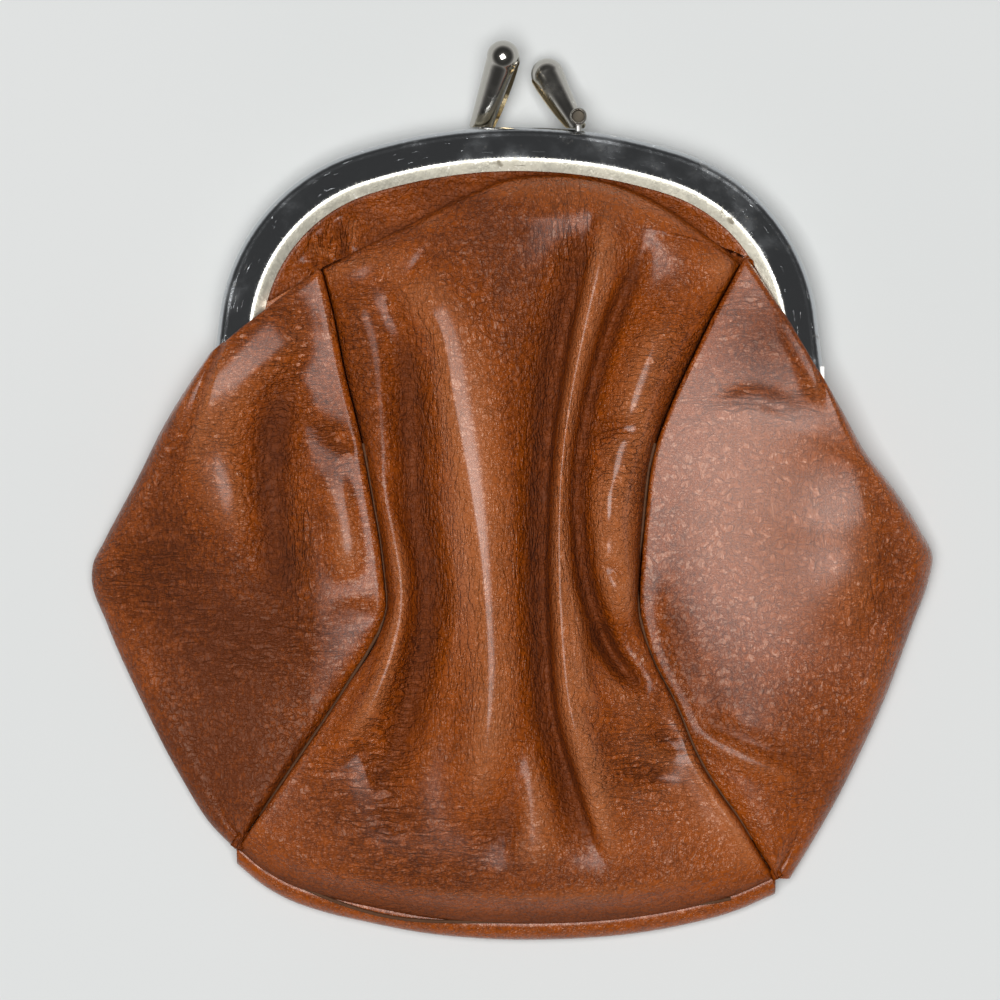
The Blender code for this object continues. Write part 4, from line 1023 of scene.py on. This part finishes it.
# Radius and height of each ring of the cup: its outside, its lip, and its bore from the eighth ring on
cup_profile = (
    (0.02, 0.0), (0.9, 0.0), (1.03, 0.15), (1.05, 1.95), (1.0, 2.15), (0.9, 2.2), (0.8, 2.15),
    (0.74, 1.95), (0.7, 1.3), (0.02, 1.2),
)
CUP_RINGS_OUTSIDE = 7
cup_start = (FRONT_POD_X, front_foot[1] + 1.35, 7.1)
cup_points, _, _ = turned(cup_profile, cup_start, (0, 0, 1), (1, 0, 0))
cup = in_metres("right_pod_cup", cup_points, closed_tube(cup_points))
cup.data.set_sharp_from_angle(angle=np.radians(50))
cup.data.materials.append(pod_nickel)
# The bore's faces are near black: painted shade inside the cup's hole.
bore = Finish("bore_painted_shade", Metallic=0.5, Roughness=0.6)
bore_tone = bore.noise(bore.place(), 1400.0)
cup.data.materials.append(bore.surface(Base_Color=bore.mix(bore_tone, (0.035, 0.028, 0.02), (0.12, 0.10, 0.07))))
in_bore = np.zeros(len(cup.data.polygons), np.int32)
in_bore[CUP_RINGS_OUTSIDE * TURN_STEPS:-2] = 1
in_bore[-1] = 1
cup.data.polygons.foreach_set("material_index", in_bore)
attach(cup, "front_half")


# Hinge rivets and clasp rivets: dull steel. They are the solids' own shapes, since nothing of them
# bends and hardly anything of them shows.


def finish_solids(finish, *nodes):
    """Gives solids that show as they are their finish."""
    for node in nodes:
        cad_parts[node].data.materials.clear()
        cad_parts[node].data.materials.append(finish)


steel = Finish("dull_steel", Metallic=1.0)
grain = steel.noise(steel.place(), 900.0, 3.0)
dull = steel.surface(
    Base_Color=steel.mix(grain, (0.42, 0.41, 0.39), (0.58, 0.57, 0.55)), Roughness=0.3 + grain * 0.2,
    Normal=steel.bump(grain * 0.01),
)
finish_solids(dull, "left_hinge_rivet", "right_hinge_rivet", "back_clasp_rivet", "front_clasp_rivet")


# Paper cords: twisted kraft paper that jams the leather in each channel. They are the solids' own
# shapes too.

kraft = Finish("kraft_paper", Roughness=0.9)
fibre = kraft.noise(kraft.place(), 1600.0, 4.0)
paper = kraft.surface(
    Base_Color=kraft.mix(fibre, (0.42, 0.32, 0.20), (0.66, 0.54, 0.38)), Normal=kraft.bump(fibre * 0.05))
finish_solids(paper, "front_paper_cord", "back_paper_cord")


# Seam threads: dark waxed linen, deep in the turned seams. Each solid stands for all the stitches of
# one seam.

linen = Finish("waxed_linen", Roughness=0.8, Specular_IOR_Level=0.15)
twist = linen.noise(linen.place(), 2400.0, 3.0)
waxed = linen.surface(
    Base_Color=linen.mix(twist, (0.06, 0.025, 0.012), (0.15, 0.07, 0.035)), Normal=linen.bump(twist * 0.05))
seams = ("front_left", "front_right", "back_left", "back_right", "bottom")
finish_solids(waxed, *(f"{seam}_seam_thread" for seam in seams))


# Table, lights and camera: a pale table in a room that is pale at the horizon and dark above it, one
# large soft lamp nearly overhead, and a long lens straight above.

TABLE_HALF = 450
TABLE_DROP = 0.02
corners = np.array([(-1, -1, 0), (1, -1, 0), (1, 1, 0), (-1, 1, 0)]) * TABLE_HALF - (0, 0, TABLE_DROP)
table = in_metres("table", corners, [(0, 1, 2, 3)])
pale = Finish("pale_table", Roughness=0.7)
tone = pale.noise(pale.place(), 9.0, 2.0)
table.data.materials.append(pale.surface(Base_Color=pale.mix(tone, (0.68, 0.70, 0.695), (0.74, 0.75, 0.745))))

world = bpy.data.worlds.new("room")
bpy.context.scene.world = world
world.use_nodes = True
sky = world.node_tree
sky.nodes["Background"].inputs["Strength"].default_value = 1.0
heading = sky.nodes.new("ShaderNodeTexCoord")
split = sky.nodes.new("ShaderNodeSeparateXYZ")
ramp = sky.nodes.new("ShaderNodeValToRGB")
sky.links.new(heading.outputs["Generated"], split.inputs[0])
sky.links.new(split.outputs["Z"], ramp.inputs[0])
ramp.color_ramp.elements[0].position = 0.02
ramp.color_ramp.elements[0].color = (0.74, 0.75, 0.75, 1)
ramp.color_ramp.elements[1].position = 1.0
ramp.color_ramp.elements[1].color = (0.18, 0.18, 0.18, 1)
for place, grey in ((0.16, 0.46), (0.34, 0.16), (0.52, 0.06), (0.90, 0.06)):
    element = ramp.color_ramp.elements.new(place)
    element.color = (grey, grey, grey, 1)
sky.links.new(ramp.outputs[0], sky.nodes["Background"].inputs["Color"])

lamp = bpy.data.lights.new("ceiling", "AREA")
lamp.shape = "SQUARE"
lamp.size = 0.60
lamp.energy = 13.0
holder = bpy.data.objects.new("ceiling", lamp)
holder.location = (-0.05, -0.03, 1.15)
holder.rotation_mode = "QUATERNION"
holder.rotation_quaternion = (-Vector(holder.location)).to_track_quat("-Z", "Y")
bpy.context.scene.collection.objects.link(holder)

VIEW_MM = 121.4
VIEW_DISTANCE = 0.8
camera = bpy.data.cameras.new("camera")
camera.sensor_fit = "HORIZONTAL"
camera.sensor_width = 36.0
camera.lens = 36.0 * VIEW_DISTANCE / (VIEW_MM / 1000)
camera.clip_start = 0.05
camera.clip_end = 10
viewer = bpy.data.objects.new("camera", camera)
viewer.location = (-0.0022, -0.0119, VIEW_DISTANCE + 0.008)
bpy.context.scene.collection.objects.link(viewer)
bpy.context.scene.camera = viewer
bpy.context.scene.view_settings.view_transform = "Standard"
